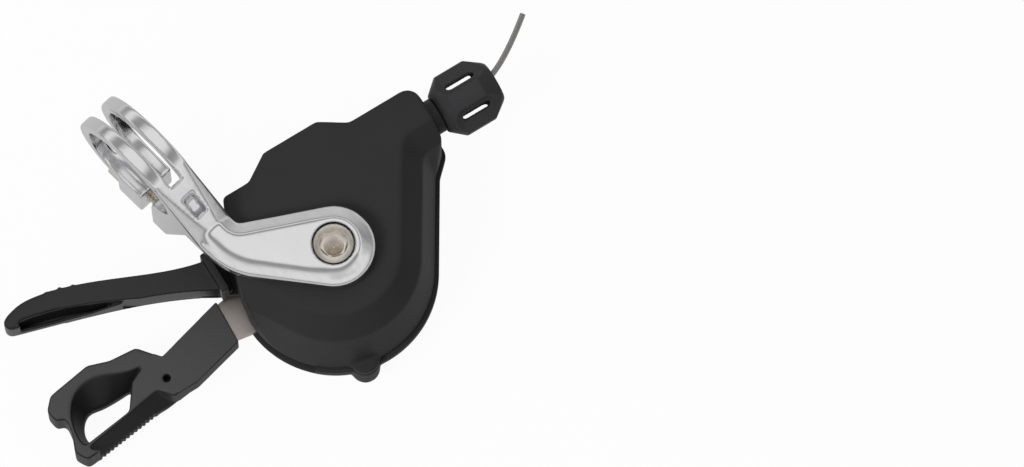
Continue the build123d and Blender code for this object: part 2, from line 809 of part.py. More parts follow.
# Pawls, drawn with their nose in a tooth and then swung clear
def pawl(bottom, top, angle, extra=None):
    nose = angle + pawl_span
    pivot = polar(pawl_pivot_radius, angle)
    back = pawl_ring_radius / 2
    arm = polygon(polar(tooth_root_radius + nose_gap, nose - nose_lead),
                  polar(tooth_tip_radius + nose_rise, nose - nose_lead),
                  polar(tooth_tip_radius + pawl_ring_radius, nose - nose_crown),
                  polar(pawl_pivot_radius + back, angle + pawl_root), pivot,
                  polar(tooth_tip_radius + nose_rise, angle + pawl_root),
                  polar(tooth_tip_radius + tooth_gap, nose - nose_heel),
                  polar(tooth_tip_radius - tooth_gap, nose - nose_toe))
    body = arm + Pos(*pivot) * Circle(pawl_ring_radius)
    if extra:
        body += Pos(*extra) * Circle(release_pin_radius + release_pin_wall)
    solid = layer(body, bottom, top) - rod(pawl_pin_radius + running_gap, bottom - 1, top + 1, pivot)
    return swing_clear(solid, pivot)


def swing_clear(shape, pivot):
    """Turn a pawl's shape outwards about its pivot by its lift."""
    return Pos(*pivot) * Rot(0, 0, -pawl_lift) * Pos(-pivot[0], -pivot[1]) * shape


def release_pin():
    """Dowel in the holding pawl that the release lever's cam pushes outwards."""
    pin = rod(release_pin_radius, release_plate_bottom, holding_ratchet_top, release_pin_place)
    return swing_clear(pin, holding_pivot)


def holding_pawl():
    body = pawl(holding_ratchet_bottom, holding_ratchet_top, holding_pawl_angle, release_pin_place)
    hole = rod(release_pin_radius + press_gap, 2 * base_z, 0, release_pin_place)
    return body - swing_clear(hole, holding_pivot)


# Main lever: steel arm, moulded pad
def stem_outline(grow):
    low, high = stem_centre_w - stem_half_width - grow, stem_centre_w + stem_half_width + grow
    tip = stem_tip - grow
    return polygon((stem_root, low - stem_flare), (stem_root, high + stem_flare), (stem_shoulder, high),
                   (tip, stem_tip_high + grow), (tip, stem_tip_low - grow), (stem_shoulder, low))


def main_lever_arm():
    lobe = Pos(pawl_pivot_radius / 2, 0) * Rectangle(pawl_pivot_radius, 2 * pawl_ring_radius)
    lobe = Rot(0, 0, drive_pawl_angle) * lobe
    plan = Circle(lever_disc_radius) + lobe + Pos(*drive_pivot) * Circle(pawl_ring_radius) + stem_outline(0)
    arm = layer(plan, lever_plate_bottom, lever_plate_top)
    arm -= rod(axle_radius + running_gap, lever_plate_bottom - 1, lever_plate_top + 1)
    arm -= rod(pawl_pin_radius + press_gap, lever_plate_bottom - 1, lever_plate_top + 1, drive_pivot)
    return arm - rod(peg_radius + press_gap, lever_plate_bottom - 1, lever_plate_top + 1, lever_peg_place)


def main_lever_pad():
    hook = (hook_start, hook_dip, hook_crown, hook_tip_high, hook_tip, hook_tip_low, hook_heel, leg_high,
            leg_low, pad_corner)
    outline = polygon(pad_root_high, pad_neck, *hook, tooth_run_end, tooth_run_start, pad_belly,
                      pad_root_low)
    for corner in hook:
        outline = round_corner(outline, corner, pad_round)
    pad = layer(outline, pad_bottom, pad_top)
    under = polygon((0, pad_bottom - 1), (0, block_bottom), (block_end, block_bottom),
                    (block_slope_end, pad_bottom), (block_slope_end, pad_bottom - 1))
    pad -= extrude(Plane.XZ * under, amount=far, both=True)
    mouth = make_face([Spline(dish_right, dish_saddle, dish_crown, dish_left, dish_leg_high, dish_leg_low),
                       Polyline(dish_leg_low, ridge_middle, plate_corner, dish_right)])
    throat = make_face([Spline(window_right, window_saddle, window_crown, window_left, window_leg_high,
                               window_leg_low),
                        Polyline(window_leg_low, window_low, window_plate, window_right)])
    pad -= loft([Pos(0, 0, pad_top) * mouth, Pos(0, 0, dish_floor) * throat], ruled=True)
    pad -= layer(throat, pad_bottom - 1, dish_floor)
    pad -= tooth_facet()
    run = (tooth_run_end[0] - tooth_run_start[0], tooth_run_end[1] - tooth_run_start[1])
    slant = degrees(atan2(run[1], run[0]))
    pitch = hypot(*run) / pad_tooth_count
    notch = polygon((-pitch / 2, tooth_depth / 2), (0, -tooth_depth), (pitch / 2, tooth_depth / 2))
    for tooth in range(pad_tooth_count):
        place = polar((tooth + 0.5) * pitch, slant, tooth_run_start)
        pad -= layer(Pos(*place) * Rot(0, 0, slant) * notch, pad_bottom - 1, pad_top + 1)
    pad -= layer(stem_outline(press_gap), lever_plate_bottom - press_gap, lever_plate_top + press_gap)
    return pad - rod(pad_hole_radius, pad_top - pad_hole_depth, pad_top + 1, pad_hole)


def tooth_facet():
    """Wedge cut away above the slope that runs from the pad's ridge down to its teeth."""
    ends = []
    for ridge, edge in ((ridge_end, tooth_run_end), (ridge_start, facet_edge)):
        out = (2 * edge[0] - ridge[0], 2 * edge[1] - ridge[1])
        corners = [(*ridge, pad_top), (*out, 2 * facet_low - pad_top), (*out, pad_top + 1),
                   (*ridge, pad_top + 1)]
        ends.append(Wire.make_polygon([Vector(*c) for c in corners], close=True))
    return loft([Face(wire) for wire in ends], ruled=True)


# Release lever: steel plate with a two-way cam, moulded grip
def release_lever_arm():
    blade = release_blade(blade_root, 0)
    ring = hub_radius + release_ring_wall
    base = ring - 1
    cam = polygon(polar(base, cam_angle - cam_foot), polar(cam_radius, cam_angle - cam_outer),
                  polar(cam_radius, cam_angle - cam_inner), polar(cam_radius - cam_notch, cam_angle),
                  polar(cam_radius, cam_angle + cam_inner), polar(cam_radius, cam_angle + cam_outer),
                  polar(base, cam_angle + cam_foot))
    tab = Pos(ring + release_tab_out, 0) * Rectangle(release_tab, release_tab_width)
    tab = Rot(0, 0, release_post_angle) * tab
    plate = layer(Circle(ring) + blade + cam + tab, release_plate_bottom, release_plate_top)
    return plate - rod(hub_radius + running_gap, release_plate_bottom - 1, release_plate_top + 1)


def release_blade(root, grow):
    """Plan outline of the release plate's blade, grown by a distance."""
    blade = polygon((root, -blade_half), (blade_taper, -blade_half), (blade_reach, -blade_tip_half),
                    (blade_reach, blade_tip_half), (blade_taper, blade_half), (root, blade_half))
    blade = Rot(0, 0, release_angle) * blade
    return offset(blade, amount=grow, kind=Kind.INTERSECTION) if grow else blade


def root_clear(angle):
    """Point beside the body that the swinging grip's root can reach at an angle about the axle."""
    lead = angle - release_swing - (rim_end_angle + 360)
    return polar(rim_radius / cos(radians(min(lead, 0))) + root_gap, angle)


def release_lever_grip():
    middle_angle = (root_low_angle + root_high_angle) / 2
    inner = [root_clear(angle) for angle in (root_low_angle, middle_angle, root_high_angle)]
    upper = Spline(grip_root_high, grip_back, grip_swell, grip_crown, grip_tip_high)
    lower = Spline(grip_tip_low, grip_belly, grip_waist, grip_root_low)
    tip = ThreePointArc(grip_tip_high, grip_tip, grip_tip_low)
    root = Polyline(grip_root_low, *inner, grip_root_high)
    grip = layer(make_face([upper, tip, lower, root]), grip_bottom, grip_top)
    ridge = Spline(ridge_tip, ridge_swell, grip_ridge, ridge_root)
    outside = make_face([ridge, Polyline(ridge_root, (ridge_root[0], 0), (ridge_tip[0], 0), ridge_tip)])
    rising = polygon((grip_tip[0], lip_top), (lip_slope_start, lip_top), (ridge_root[0], grip_top),
                     (ridge_root[0], 0), (grip_tip[0], 0))
    grip -= layer(outside, lip_top, 0) & extrude(Plane.XZ * rising, amount=far, both=True)
    groove = outside - make_face([Spline(lip_tip, lip_middle, lip_root),
                                  Polyline(lip_root, (lip_root[0], 0), (lip_tip[0], 0), lip_tip)])
    grip -= layer(groove, groove_floor, grip_top + 1)
    grip -= block((flange_inner_u, -far, neck_top), (0, far, 0))
    flange = polygon((flange_u, flange_low), (flange_inner_u, flange_low), (flange_inner_u, flange_high),
                     (flange_u, flange_high))
    grip += layer(flange, grip_bottom, grip_top + flange_proud)
    for bump in (bump_first, bump_middle, bump_last):
        grip += rod(bump_radius, grip_bottom + bump_radius, grip_top - bump_radius, bump)
    return grip - layer(release_blade(slot_root, press_gap), release_plate_bottom - press_gap,
                        release_plate_top + press_gap)


# Barrel adjuster, turned about the cable's line
def adjuster_knob():
    full_start = knob_start + knob_near_chamfer
    full_end = knob_end - knob_far_chamfer
    profile = Polyline((0, knob_start), (knob_neck_radius, knob_start), (knob_radius, full_start),
                       (knob_radius, full_end), (knob_end_radius, knob_end - knob_end_bevel),
                       (knob_end_radius - knob_end_bevel, knob_end), (0, knob_end), (0, knob_start))
    knob = revolve(Plane.XZ * make_face(profile), Axis.Z)
    chamber_start = knob_start + knob_near_wall
    knob -= rod(knob_chamber_radius, chamber_start, knob_end - knob_far_wall)
    knob -= rod(casing_socket_radius, chamber_start, knob_end + 1)
    knob -= rod(adjuster_bolt_radius + press_gap, knob_start - 1, chamber_start + 1)
    scoop_start = full_start + scoop_inset
    middle = (full_start + full_end) / 2 + scoop_slot_shift
    half_run = (scoop_slot_length - scoop_slot_width) / 2
    half_width = scoop_slot_width / 2
    slot = block((0, -half_width, middle - half_run), (knob_radius, half_width, middle + half_run))
    for end in (middle - half_run, middle + half_run):
        slot += Pos(knob_radius / 2, 0, end) * Rot(0, 90, 0) * Cylinder(half_width, knob_radius)
    for index in range(scoop_count):
        turn = Rot(0, 0, scoop_angle + index * 360 / scoop_count)
        scoop = rod(scoop_radius, scoop_start, knob_end + 1, (scoop_offset, 0))
        scoop += Pos(scoop_offset, 0, scoop_start) * Sphere(scoop_radius)
        knob -= turn * (scoop + slot)
    return cable_line * knob


def adjuster_bolt():
    """Hollow threaded barrel, fixed in the knob and screwed into the bracket."""
    end = knob_start + knob_near_wall
    return (along_cable(adjuster_bolt_radius, adjuster_bolt_start, end)
            - along_cable(adjuster_bolt_bore, adjuster_bolt_start - 1, end + 1))


def detent_collar():
    """Click collar between the body and the knob."""
    return (along_cable(collar_radius, collar_start, knob_start - running_gap)
            - along_cable(adjuster_bolt_radius + running_gap, collar_start - 1, knob_start + 1))


pieces["main_axle"] = unit * main_axle()
pieces["axle_nut"] = unit * axle_nut()
pieces["base_plate"] = unit * base_plate()
pieces["adjuster_bracket"] = unit * adjuster_bracket()
pieces["bracket_screw"] = unit * bracket_screw()
pieces["holding_pawl_pin"] = unit * rod(pawl_pin_radius, base_plate_bottom,
                                        holding_ratchet_top + 2 * pawl_pin_rise, holding_pivot)
pieces["spring_posts"] = unit * Compound([
    rod(peg_radius, base_plate_bottom, lever_plate_bottom - layer_gap / 2, lever_post_place),
    rod(peg_radius, base_plate_bottom, release_plate_top, release_post_place)])
pieces["take_up_spool"] = unit * take_up_spool()
pieces["cable_nipple"] = unit * rod(nipple_radius, cable_z - nipple_half, spool_top, nipple_place)
pieces["inner_cable"] = unit * inner_cable()
pieces["holding_ratchet"] = unit * ratchet(holding_ratchet_bottom, holding_ratchet_top,
                                           holding_pawl_angle + pawl_span + tooth_clear)
pieces["drive_ratchet"] = unit * ratchet(drive_ratchet_bottom, drive_ratchet_top,
                                         drive_pawl_angle + pawl_span + tooth_clear)
pieces["spool_spring"] = unit * spool_spring()
pieces["main_lever_arm"] = unit * main_lever_arm()
pieces["main_lever_pad"] = unit * main_lever_pad()
pieces["main_lever_peg"] = unit * rod(peg_radius, base_plate_top + layer_gap, lever_plate_top,
                                      lever_peg_place)
pieces["main_lever_spring"] = unit * torsion_wire(
    (0, 0), lever_coil_radius, lever_coil_start, lever_coil_end, lever_leg, lever_leg, lever_wire,
    lever_coil_z)
pieces["drive_pawl"] = unit * pawl(drive_ratchet_bottom, drive_ratchet_top, drive_pawl_angle)
pieces["drive_pawl_pin"] = unit * rod(pawl_pin_radius, lever_plate_bottom, drive_ratchet_top + pawl_pin_rise,
                                      drive_pivot)
pieces["holding_pawl"] = unit * holding_pawl()
pieces["release_pin"] = unit * release_pin()
pieces["release_lever_arm"] = unit * release_lever_arm()
pieces["release_lever_grip"] = unit * release_lever_grip()
pieces["adjuster_knob"] = unit * adjuster_knob()
pieces["adjuster_bolt"] = unit * adjuster_bolt()
pieces["detent_collar"] = unit * detent_collar()
pieces["holding_pawl_spring"] = unit * pawl_spring(holding_pawl_angle, holding_ratchet_top + pawl_wire)
pieces["drive_pawl_spring"] = unit * pawl_spring(drive_pawl_angle, drive_ratchet_top + pawl_wire / 2)
pieces["release_spring"] = unit * torsion_wire(
    release_post_place, release_coil_radius, release_post_angle - 90, release_post_angle + 90,
    release_leg, release_leg, spring_wire, (release_plate_top + release_plate_bottom) / 2)

if __name__ == "__main__":
    os.makedirs("parts", exist_ok=True)
    for name, shape in pieces.items():
        export_step(shape, f"parts/{name}.step")
        print(name, round(shape.volume, 1))
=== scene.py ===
import json
import math

import bmesh
import bpy
from bpy.props import FloatProperty, FloatVectorProperty, IntProperty, PointerProperty
from mathutils import Matrix, Vector

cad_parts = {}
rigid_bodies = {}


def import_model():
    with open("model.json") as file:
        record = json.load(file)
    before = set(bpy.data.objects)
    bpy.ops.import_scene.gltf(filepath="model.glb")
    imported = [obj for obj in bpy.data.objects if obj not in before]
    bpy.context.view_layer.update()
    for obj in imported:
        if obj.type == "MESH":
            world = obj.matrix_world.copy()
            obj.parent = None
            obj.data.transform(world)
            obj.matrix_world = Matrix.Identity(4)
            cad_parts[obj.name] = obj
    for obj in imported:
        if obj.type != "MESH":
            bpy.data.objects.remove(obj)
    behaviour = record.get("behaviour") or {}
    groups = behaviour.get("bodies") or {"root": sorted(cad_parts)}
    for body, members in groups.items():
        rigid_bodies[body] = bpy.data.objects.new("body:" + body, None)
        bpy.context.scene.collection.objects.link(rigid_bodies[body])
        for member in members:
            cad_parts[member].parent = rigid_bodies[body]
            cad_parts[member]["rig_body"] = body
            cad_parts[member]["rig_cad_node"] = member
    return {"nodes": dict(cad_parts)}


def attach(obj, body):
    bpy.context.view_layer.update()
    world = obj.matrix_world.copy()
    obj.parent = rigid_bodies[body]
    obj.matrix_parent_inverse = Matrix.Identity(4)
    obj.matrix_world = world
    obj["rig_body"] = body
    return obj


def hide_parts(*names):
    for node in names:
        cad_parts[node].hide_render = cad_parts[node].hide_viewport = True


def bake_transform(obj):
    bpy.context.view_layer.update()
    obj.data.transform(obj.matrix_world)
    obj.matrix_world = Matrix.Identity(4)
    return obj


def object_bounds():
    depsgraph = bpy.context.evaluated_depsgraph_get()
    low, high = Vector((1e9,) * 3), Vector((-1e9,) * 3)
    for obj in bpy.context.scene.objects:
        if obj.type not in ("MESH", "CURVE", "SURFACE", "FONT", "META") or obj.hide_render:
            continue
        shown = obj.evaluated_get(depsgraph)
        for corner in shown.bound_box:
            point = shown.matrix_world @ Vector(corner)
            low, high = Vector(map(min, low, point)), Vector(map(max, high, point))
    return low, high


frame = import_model()

bl_info = {
    "name": "Trigger gear shifter",
    "version": (1, 0, 0),
    "blender": (4, 5, 0),
    "location": "View3D > Sidebar > Shifter",
    "description": "Finishes the pieces of a trigger gear shifter and sets up its studio",
    "category": "Object",
}

CAD_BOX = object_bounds()
MM = 0.001

# Distance under which heights count as the same, gaps under which points are merged, and the
# angle under which neighbouring triangles count as one flat face
PROBE = 0.02 * MM
MERGE_GAP = PROBE / 10
WIRE_MERGE_GAP = PROBE / 20
FLAT_ANGLE = math.radians(0.8)

# Point attribute that says how far a rounded skin faces up, by which the lever materials paint top
# light and wall shade
UPWARD = "upward"

# The unit's axle stands here, and the cable leaves it along the turned X axis
AXLE = Vector((14.7, -39.3, 0.0)) * MM
UNIT_TURN = math.radians(-13.4)
UNIT = Matrix.Translation(AXLE) @ Matrix.Rotation(UNIT_TURN, 4, "Z")
UNIT_INVERSE = UNIT.inverted()

# Rounded skins: the cell of each one and how often it is smoothed, then how strongly each pass
# smooths and the share of faces that is kept
SKINS = {
    "clamp_bracket": (0.22 * MM, 300),
    "top_cover": (0.26 * MM, 45),
    "bottom_cover": (0.26 * MM, 10),
    "main_lever_pad": (0.18 * MM, 90),
    "release_lever_grip": (0.18 * MM, 120),
    "adjuster_knob": (0.16 * MM, 10),
}
SKIN_FACTOR = 0.5
SKIN_SHARE = 0.4

# Bevels of the small pieces, and how much large faces count in their shading
BEVEL_ANGLE = math.radians(28.0)
FACE_WEIGHT = 60
PLUG_EDGE = 0.25 * MM
PLATE_EDGE = 0.2 * MM
COLLAR_EDGE = 0.3 * MM

# Threads: where the crest starts and ends within one pitch, steps in a turn, and spare turns
CREST_START = 0.42
CREST_END = 0.58
THREAD_STEPS = 28
SPARE_TURNS = 2

# Clamp: directions along and across its arm, the bolt's crisp seat and where that fades out,
# and the near top edge of the arm, which is worn broad from the bend to the boss
ARM_ALONG = Vector((1.0, -1.0)).normalized()
ARM_ACROSS = Vector((1.0, 1.0)).normalized()
SEAT_RADIUS = 4.7 * MM
SEAT_FADE = 1.3 * MM
ARM_START = -26.0 * MM
ARM_BEND = -20.1 * MM
ARM_BEND_SLOPE = -0.45
ARM_NEAR_SIDE = -2.0 * MM
ARM_EDGE_Z = 0.1 * MM
SEAT_WEAR = 0.01
CLAMP_WEAR = 0.12
ARM_EDGE_WEAR = 1.0

# Bolts: where their heads sit, how long their shanks are and how far they sink into the heads,
# their threads, and the cones and sockets of the heads. Depths, rises and the drill's top count
# from the head's top. The crown's foot is a share of the head's radius, and the other feet, tips
# and the drill's width are shares of the socket's half width.
ARM_TOP = 1.4 * MM
CLAMP_BOLT_Z = -17.6 * MM
LUG_FACE_Y = 3.6 * MM
CLAMP_BOLT_SHANK = 14.4 * MM
BRACKET_BOLT_SHANK = 9.8 * MM
BOLT_PITCH = 0.8 * MM
BOLT_THREAD_DEPTH = 0.42 * MM
BOLT_SINK = 0.3 * MM
HEAD_SIDES = 64
HEAD_BEVEL = 0.4 * MM
CROWN_FOOT = 2.9
CROWN_TIP = 0.8
CROWN_BOTTOM = -0.1 * MM
CROWN_RISE = 0.4 * MM
LEAD_FOOT = 0.96
LEAD_TIP = 1.24
LEAD_DEPTH = 0.55 * MM
LEAD_RISE = 0.2 * MM
SOCKET_DEPTH = 2.4 * MM
DRILL_SIDES = 48
DRILL_POINT = 0.12 * MM
DRILL_WIDTH = 0.96
DRILL_TOP = 2.2 * MM
DRILL_DEPTH = 3.7 * MM

# Cover screws: heads, threads and how far they sink into the heads, the two bars of the cross
# slot, shanks, seats, and places. The bars and the places in the unit's plane are in millimetres.
BASE_Z = -33.6 * MM
SCREW_SIDES = 40
SCREW_HEAD_RADIUS = 2.2 * MM
SCREW_HEAD_HEIGHT = 1.6 * MM
SCREW_HEAD_ROUND = 0.7 * MM
SCREW_ROOT = 0.95 * MM
SCREW_CREST = 1.25 * MM
SCREW_PITCH = 0.9 * MM
SCREW_SINK = 0.3 * MM
SCREW_CROSS = ((2.6, 0.55, 2.0), (0.55, 2.6, 2.0))
SCREW_CROSS_Z = -1.8 * MM
COLUMN_SHANK = 16.0 * MM
EAR_SHANK = 6.6 * MM
COLUMN_SEAT_Z = BASE_Z + 2.0 * MM
EAR_SEAT_Z = BASE_Z + 4.8 * MM
LEFT_COLUMN = (-9.0, 17.2035)
RIGHT_COLUMN = (12.0, 20.3035)
EAR = (-4.5288, -18.8640)

# Levers: where their rounded ends start along the unit's axis, the line of the pad's fine teeth
# with its margins, and how far each zone is worn
HOOK_START = -40.0 * MM
GRIP_TIP_START = -52.0 * MM
TEETH_START = Vector((-45.5, -5.2)) * MM
TEETH_END = Vector((-59.5, -7.0)) * MM
TEETH_MARGIN = 0.3 * MM
TEETH_REACH = 0.9 * MM
TEETH_WEAR = 0.01
HOOK_WEAR = 0.7
BLOCK_WEAR = 0.06
GRIP_TIP_WEAR = 0.9
GRIP_WEAR = 0.16
BLACKED_STEEL = (0.05, 0.05, 0.052)

# Cable: its height, its route in the unit's plane in millimetres, its wires and its colour
CABLE_Z = -12.3 * MM
CABLE_ROUTE = (
    (-8.16, 12.10), (-6.36, 13.32), (-2.18, 14.60), (2.18, 14.60), (17.80, 14.60),
    (33.50, 14.60), (41.50, 14.60), (50.20, 16.70), (58.78, 23.42),
)
CABLE_CORE = 0.50 * MM
CABLE_WIRE_RISE = 0.10 * MM
CABLE_STEPS = 5
CABLE_COLOUR = (0.40, 0.39, 0.38)

# The release lever's hairpin spring: its direction from the axle, where its legs leave the coil
# and where they reach the lever's tab, and the rings of points between
HAIRPIN_TURN = math.radians(-20.0)
HAIRPIN_COIL = 14.2 * MM
HAIRPIN_TAB = 12.3 * MM
HAIRPIN_RINGS = 8

# Pieces inside the covers that keep their CAD shape, and their colours
INNER_STEEL = (
    "main_axle", "axle_nut", "base_plate", "bracket_screw", "holding_pawl_pin", "spring_posts",
    "main_lever_peg", "drive_pawl_pin", "release_pin", "drive_pawl", "holding_pawl",
    "holding_ratchet", "drive_ratchet", "adjuster_bolt", "cable_nipple",
)
INNER_SPRINGS = ("spool_spring", "main_lever_spring", "holding_pawl_spring", "drive_pawl_spring")
STEEL_COLOUR = (0.55, 0.55, 0.56)
SPRING_COLOUR = (0.42, 0.42, 0.44)
CAST_COLOUR = (0.66, 0.66, 0.68)
SPOOL_COLOUR = (0.70, 0.69, 0.64)

# Floor: its gap under the part, its size, the share of glow that the camera and reflections see,
# and the strength of that glow
FLOOR_GAP = 0.2 * MM
FLOOR_SIZE = 8.0
FLOOR_SEEN = 0.88
FLOOR_MIRRORED = 0.36
FLOOR_GLOW = 1.08

# Surround: brightness by height, for the soft light and for the cards in reflections
SKY_SHADES = ((0.02, 0.10), (0.40, 0.30), (0.90, 0.95))
CARD_SHADES = (
    (0.02, 0.85), (0.10, 0.66), (0.20, 0.30), (0.29, 0.34), (0.38, 0.95),
    (0.46, 1.00), (0.56, 1.00), (0.64, 0.40), (0.82, 0.34), (0.92, 1.00),
)
CARD_STRENGTH = 0.88

# Lamps, each with its place and width, and the camera: its angles, how far its target lies to the
# right of the origin and below it in the picture, the picture's width there, and its clipping
KEY_PLACE, KEY_WIDTH = (-0.55, 0.04, 0.66), 0.45
FILL_PLACE, FILL_WIDTH = (0.38, 0.48, 0.60), 0.50
LAMP_SHAPE = 0.7
VIEW_AZIMUTH = math.radians(315.0)
VIEW_ELEVATION = math.radians(76.5)
VIEW_RIGHT = 73.8 * MM
VIEW_DOWN = 14.7 * MM
VIEW_WIDTH = 204.8 * MM
SENSOR_WIDTH = 36.0
CLIP_START = 0.05
CLIP_END = 50.0

# Plastics: their index of refraction, gloss, grain sizes and depth, and how far a face must
# look up before the levers' painted top light, which also carries their grain colour, starts and is
# full
PLASTIC_IOR = 1.48
SATIN_GLOSS = 0.12
COVER_GRAIN = 0.16 * MM
KNOB_GRAIN = 0.14 * MM
PAD_GRAIN = 0.22 * MM
GRIP_GRAIN = 0.30 * MM
GRAIN_DEPTH = 0.012 * MM
TOPLIGHT_STARTS = 0.64
TOPLIGHT_FULL = 0.97

# Noise scales along the three axes, per metre
BROAD = (90.0,) * 3
CLOUDS = (110.0,) * 3
POLISHING = (900.0, 240.0, 900.0)
BRUSHING = (400.0, 9000.0, 9000.0)
TURNING = (700.0,) * 3
MOTTLING = (1400.0,) * 3


# Selection and editing helpers

def select_only(obj):
    """Make one object the only selected and active one."""
    if bpy.context.object and bpy.context.object.mode != "OBJECT":
        bpy.ops.object.mode_set(mode="OBJECT")
    bpy.ops.object.select_all(action="DESELECT")
    obj.select_set(True)
    bpy.context.view_layer.objects.active = obj
    return obj


def copy_of_node(node, name):
    """Duplicate a CAD node as a free piece and merge its loose triangles."""
    select_only(frame["nodes"][node])
    bpy.ops.object.duplicate()
    piece = bpy.context.object
    piece.name = piece.data.name = name
    bpy.ops.object.parent_clear(type="CLEAR")
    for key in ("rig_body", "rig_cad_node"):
        if key in piece:
            del piece[key]
    piece.data.materials.clear()
    if piece.data.has_custom_normals:
        bpy.ops.mesh.customdata_custom_splitnormals_clear()
    bpy.ops.object.mode_set(mode="EDIT")
    bpy.ops.mesh.select_all(action="SELECT")
    bpy.ops.mesh.mark_sharp(clear=True)
    bpy.ops.mesh.remove_doubles(threshold=MERGE_GAP)
    bpy.ops.mesh.dissolve_limited(angle_limit=FLAT_ANGLE)
    bpy.ops.object.mode_set(mode="OBJECT")
    return piece


def apply_modifiers(piece):
    """Apply each modifier of a piece in order."""
    select_only(piece)
    for name in [m.name for m in piece.modifiers]:
        bpy.ops.object.modifier_apply(modifier=name)


def add_cylinder(name, vertices, radius, bottom, top, top_radius=None):
    """Add an upright cylinder or cone between two heights, with its place in its mesh."""
    bpy.ops.object.select_all(action="DESELECT")
    middle = (0.0, 0.0, (bottom + top) / 2)
    if top_radius is None:
        bpy.ops.mesh.primitive_cylinder_add(vertices=vertices, radius=radius, depth=top - bottom,
                                            location=middle)
    else:
        bpy.ops.mesh.primitive_cone_add(vertices=vertices, radius1=radius, radius2=top_radius,
                                        depth=top - bottom, location=middle)
    piece = bpy.context.object
    piece.name = piece.data.name = name
    bpy.ops.object.transform_apply(location=True)
    return piece


def add_bar(name, size, place):
    """Add a box of a size at a place, with both in its mesh."""
    bpy.ops.object.select_all(action="DESELECT")
    bpy.ops.mesh.primitive_cube_add(size=1.0, location=place)
    piece = bpy.context.object
    piece.name = name
    piece.scale = size
    bpy.ops.object.transform_apply(location=True, scale=True)
    return piece


def edit_edges(piece, wanted):
    """Enter edit mode with only the edges selected that a test accepts."""
    select_only(piece)
    bpy.ops.object.mode_set(mode="EDIT")
    bpy.ops.mesh.select_mode(type="EDGE")
    bpy.ops.mesh.select_all(action="DESELECT")
    mesh = bmesh.from_edit_mesh(piece.data)
    for edge in mesh.edges:
        if wanted(edge):
            edge.select_set(True)
    bmesh.update_edit_mesh(piece.data)


def level_edge(height):
    """Test for edges that lie flat at a height."""
    return lambda edge: all(abs(v.co.z - height) < PROBE for v in edge.verts)


def combine(piece, tool, operation):
    """Cut a tool out of a piece or join it on, and delete the tool."""
    boolean = piece.modifiers.new("shape", "BOOLEAN")
    boolean.operation = operation
    boolean.solver = "EXACT"
    boolean.object = tool
    apply_modifiers(piece)
    bpy.data.objects.remove(tool, do_unlink=True)
    return piece


def set_place(piece, matrix):
    """Move a piece's mesh to its place and leave its object at the origin."""
    select_only(piece)
    piece.matrix_world = matrix
    bpy.ops.object.transform_apply(location=True, rotation=True, scale=True)
    return piece


def twin(piece, name):
    """Copy a modelled piece, with a mesh of its own."""
    select_only(piece)
    bpy.ops.object.duplicate()
    copy = bpy.context.object
    copy.name = copy.data.name = name
    return copy


def threaded_rod(name, root, crest, pitch, bottom, top):
    """Screw a tooth profile up an axis, and cap the rod at its two ends."""
    bpy.ops.object.select_all(action="DESELECT")
    bpy.ops.mesh.primitive_circle_add(vertices=4, radius=crest, fill_type="NOTHING")
    rod = bpy.context.object
    rod.name = rod.data.name = name
    profile = ((root, 0.0), (crest, CREST_START * pitch), (crest, CREST_END * pitch), (root, pitch))
    for vertex, (radius, height) in zip(rod.data.vertices, profile):
        vertex.co = (radius, 0.0, bottom - pitch + height)
    edit_edges(rod, lambda edge: abs(edge.verts[0].co.z - edge.verts[1].co.z) > 0.9 * pitch)
    bpy.ops.mesh.delete(type="EDGE")
    bpy.ops.object.mode_set(mode="OBJECT")
    screw = rod.modifiers.new("thread", "SCREW")
    screw.screw_offset = pitch
    screw.iterations = math.ceil((top - bottom) / pitch) + SPARE_TURNS
    screw.steps = screw.render_steps = THREAD_STEPS
    screw.use_merge_vertices = True
    screw.merge_threshold = MERGE_GAP
    apply_modifiers(rod)
    bpy.ops.object.mode_set(mode="EDIT")
    for height, up in ((bottom, False), (top, True)):
        bpy.ops.mesh.select_all(action="SELECT")
        bpy.ops.mesh.bisect(plane_co=(0.0, 0.0, height), plane_no=(0.0, 0.0, 1.0), use_fill=True,
                            clear_outer=up, clear_inner=not up)
    bpy.ops.mesh.select_all(action="SELECT")
    bpy.ops.mesh.remove_doubles(threshold=MERGE_GAP)
    bpy.ops.mesh.normals_make_consistent(inside=False)
    bpy.ops.object.mode_set(mode="OBJECT")
    return rod


def soften(piece, width, segments=3):
    """Bevel the corner edges of a small piece and smooth its shading."""
    bevel = piece.modifiers.new("edges", "BEVEL")
    bevel.limit_method = "ANGLE"
    bevel.angle_limit = BEVEL_ANGLE
    bevel.width = width
    bevel.segments = segments
    bevel.use_clamp_overlap = True
    apply_modifiers(piece)
    smooth(piece)


def round_over(piece, cell, passes, wear_at=None):
    """Rebuild a piece as an even skin, wear its edges round, and thin the skin out again."""
    skin = piece.modifiers.new("skin", "REMESH")
    skin.mode = "VOXEL"
    skin.voxel_size = cell
    apply_modifiers(piece)
    wear = piece.modifiers.new("wear", "SMOOTH")
    wear.factor = SKIN_FACTOR
    wear.iterations = passes
    if wear_at:
        group = piece.vertex_groups.new(name="wear")
        for vertex in piece.data.vertices:
            group.add([vertex.index], wear_at(vertex.co), "REPLACE")
        wear.vertex_group = group.name
    thin = piece.modifiers.new("thin", "DECIMATE")
    thin.ratio = SKIN_SHARE
    apply_modifiers(piece)
    piece.vertex_groups.clear()
    bpy.ops.object.shade_smooth()
    # How far each point faces up; the lever materials paint top light and wall shade by it
    upward = piece.data.attributes.new(UPWARD, "FLOAT", "POINT")
    upward.data.foreach_set("value", [max(0.0, vertex.normal.z) for vertex in piece.data.vertices])
    return piece


def smooth(piece, angle=32):
    """Smooth the shading except over sharp corners, and weigh it by face area."""
    select_only(piece)
    bpy.ops.object.shade_smooth_by_angle(angle=math.radians(angle))
    weigh = piece.modifiers.new("weighted", "WEIGHTED_NORMAL")
    weigh.keep_sharp = True
    weigh.weight = FACE_WEIGHT
    apply_modifiers(piece)


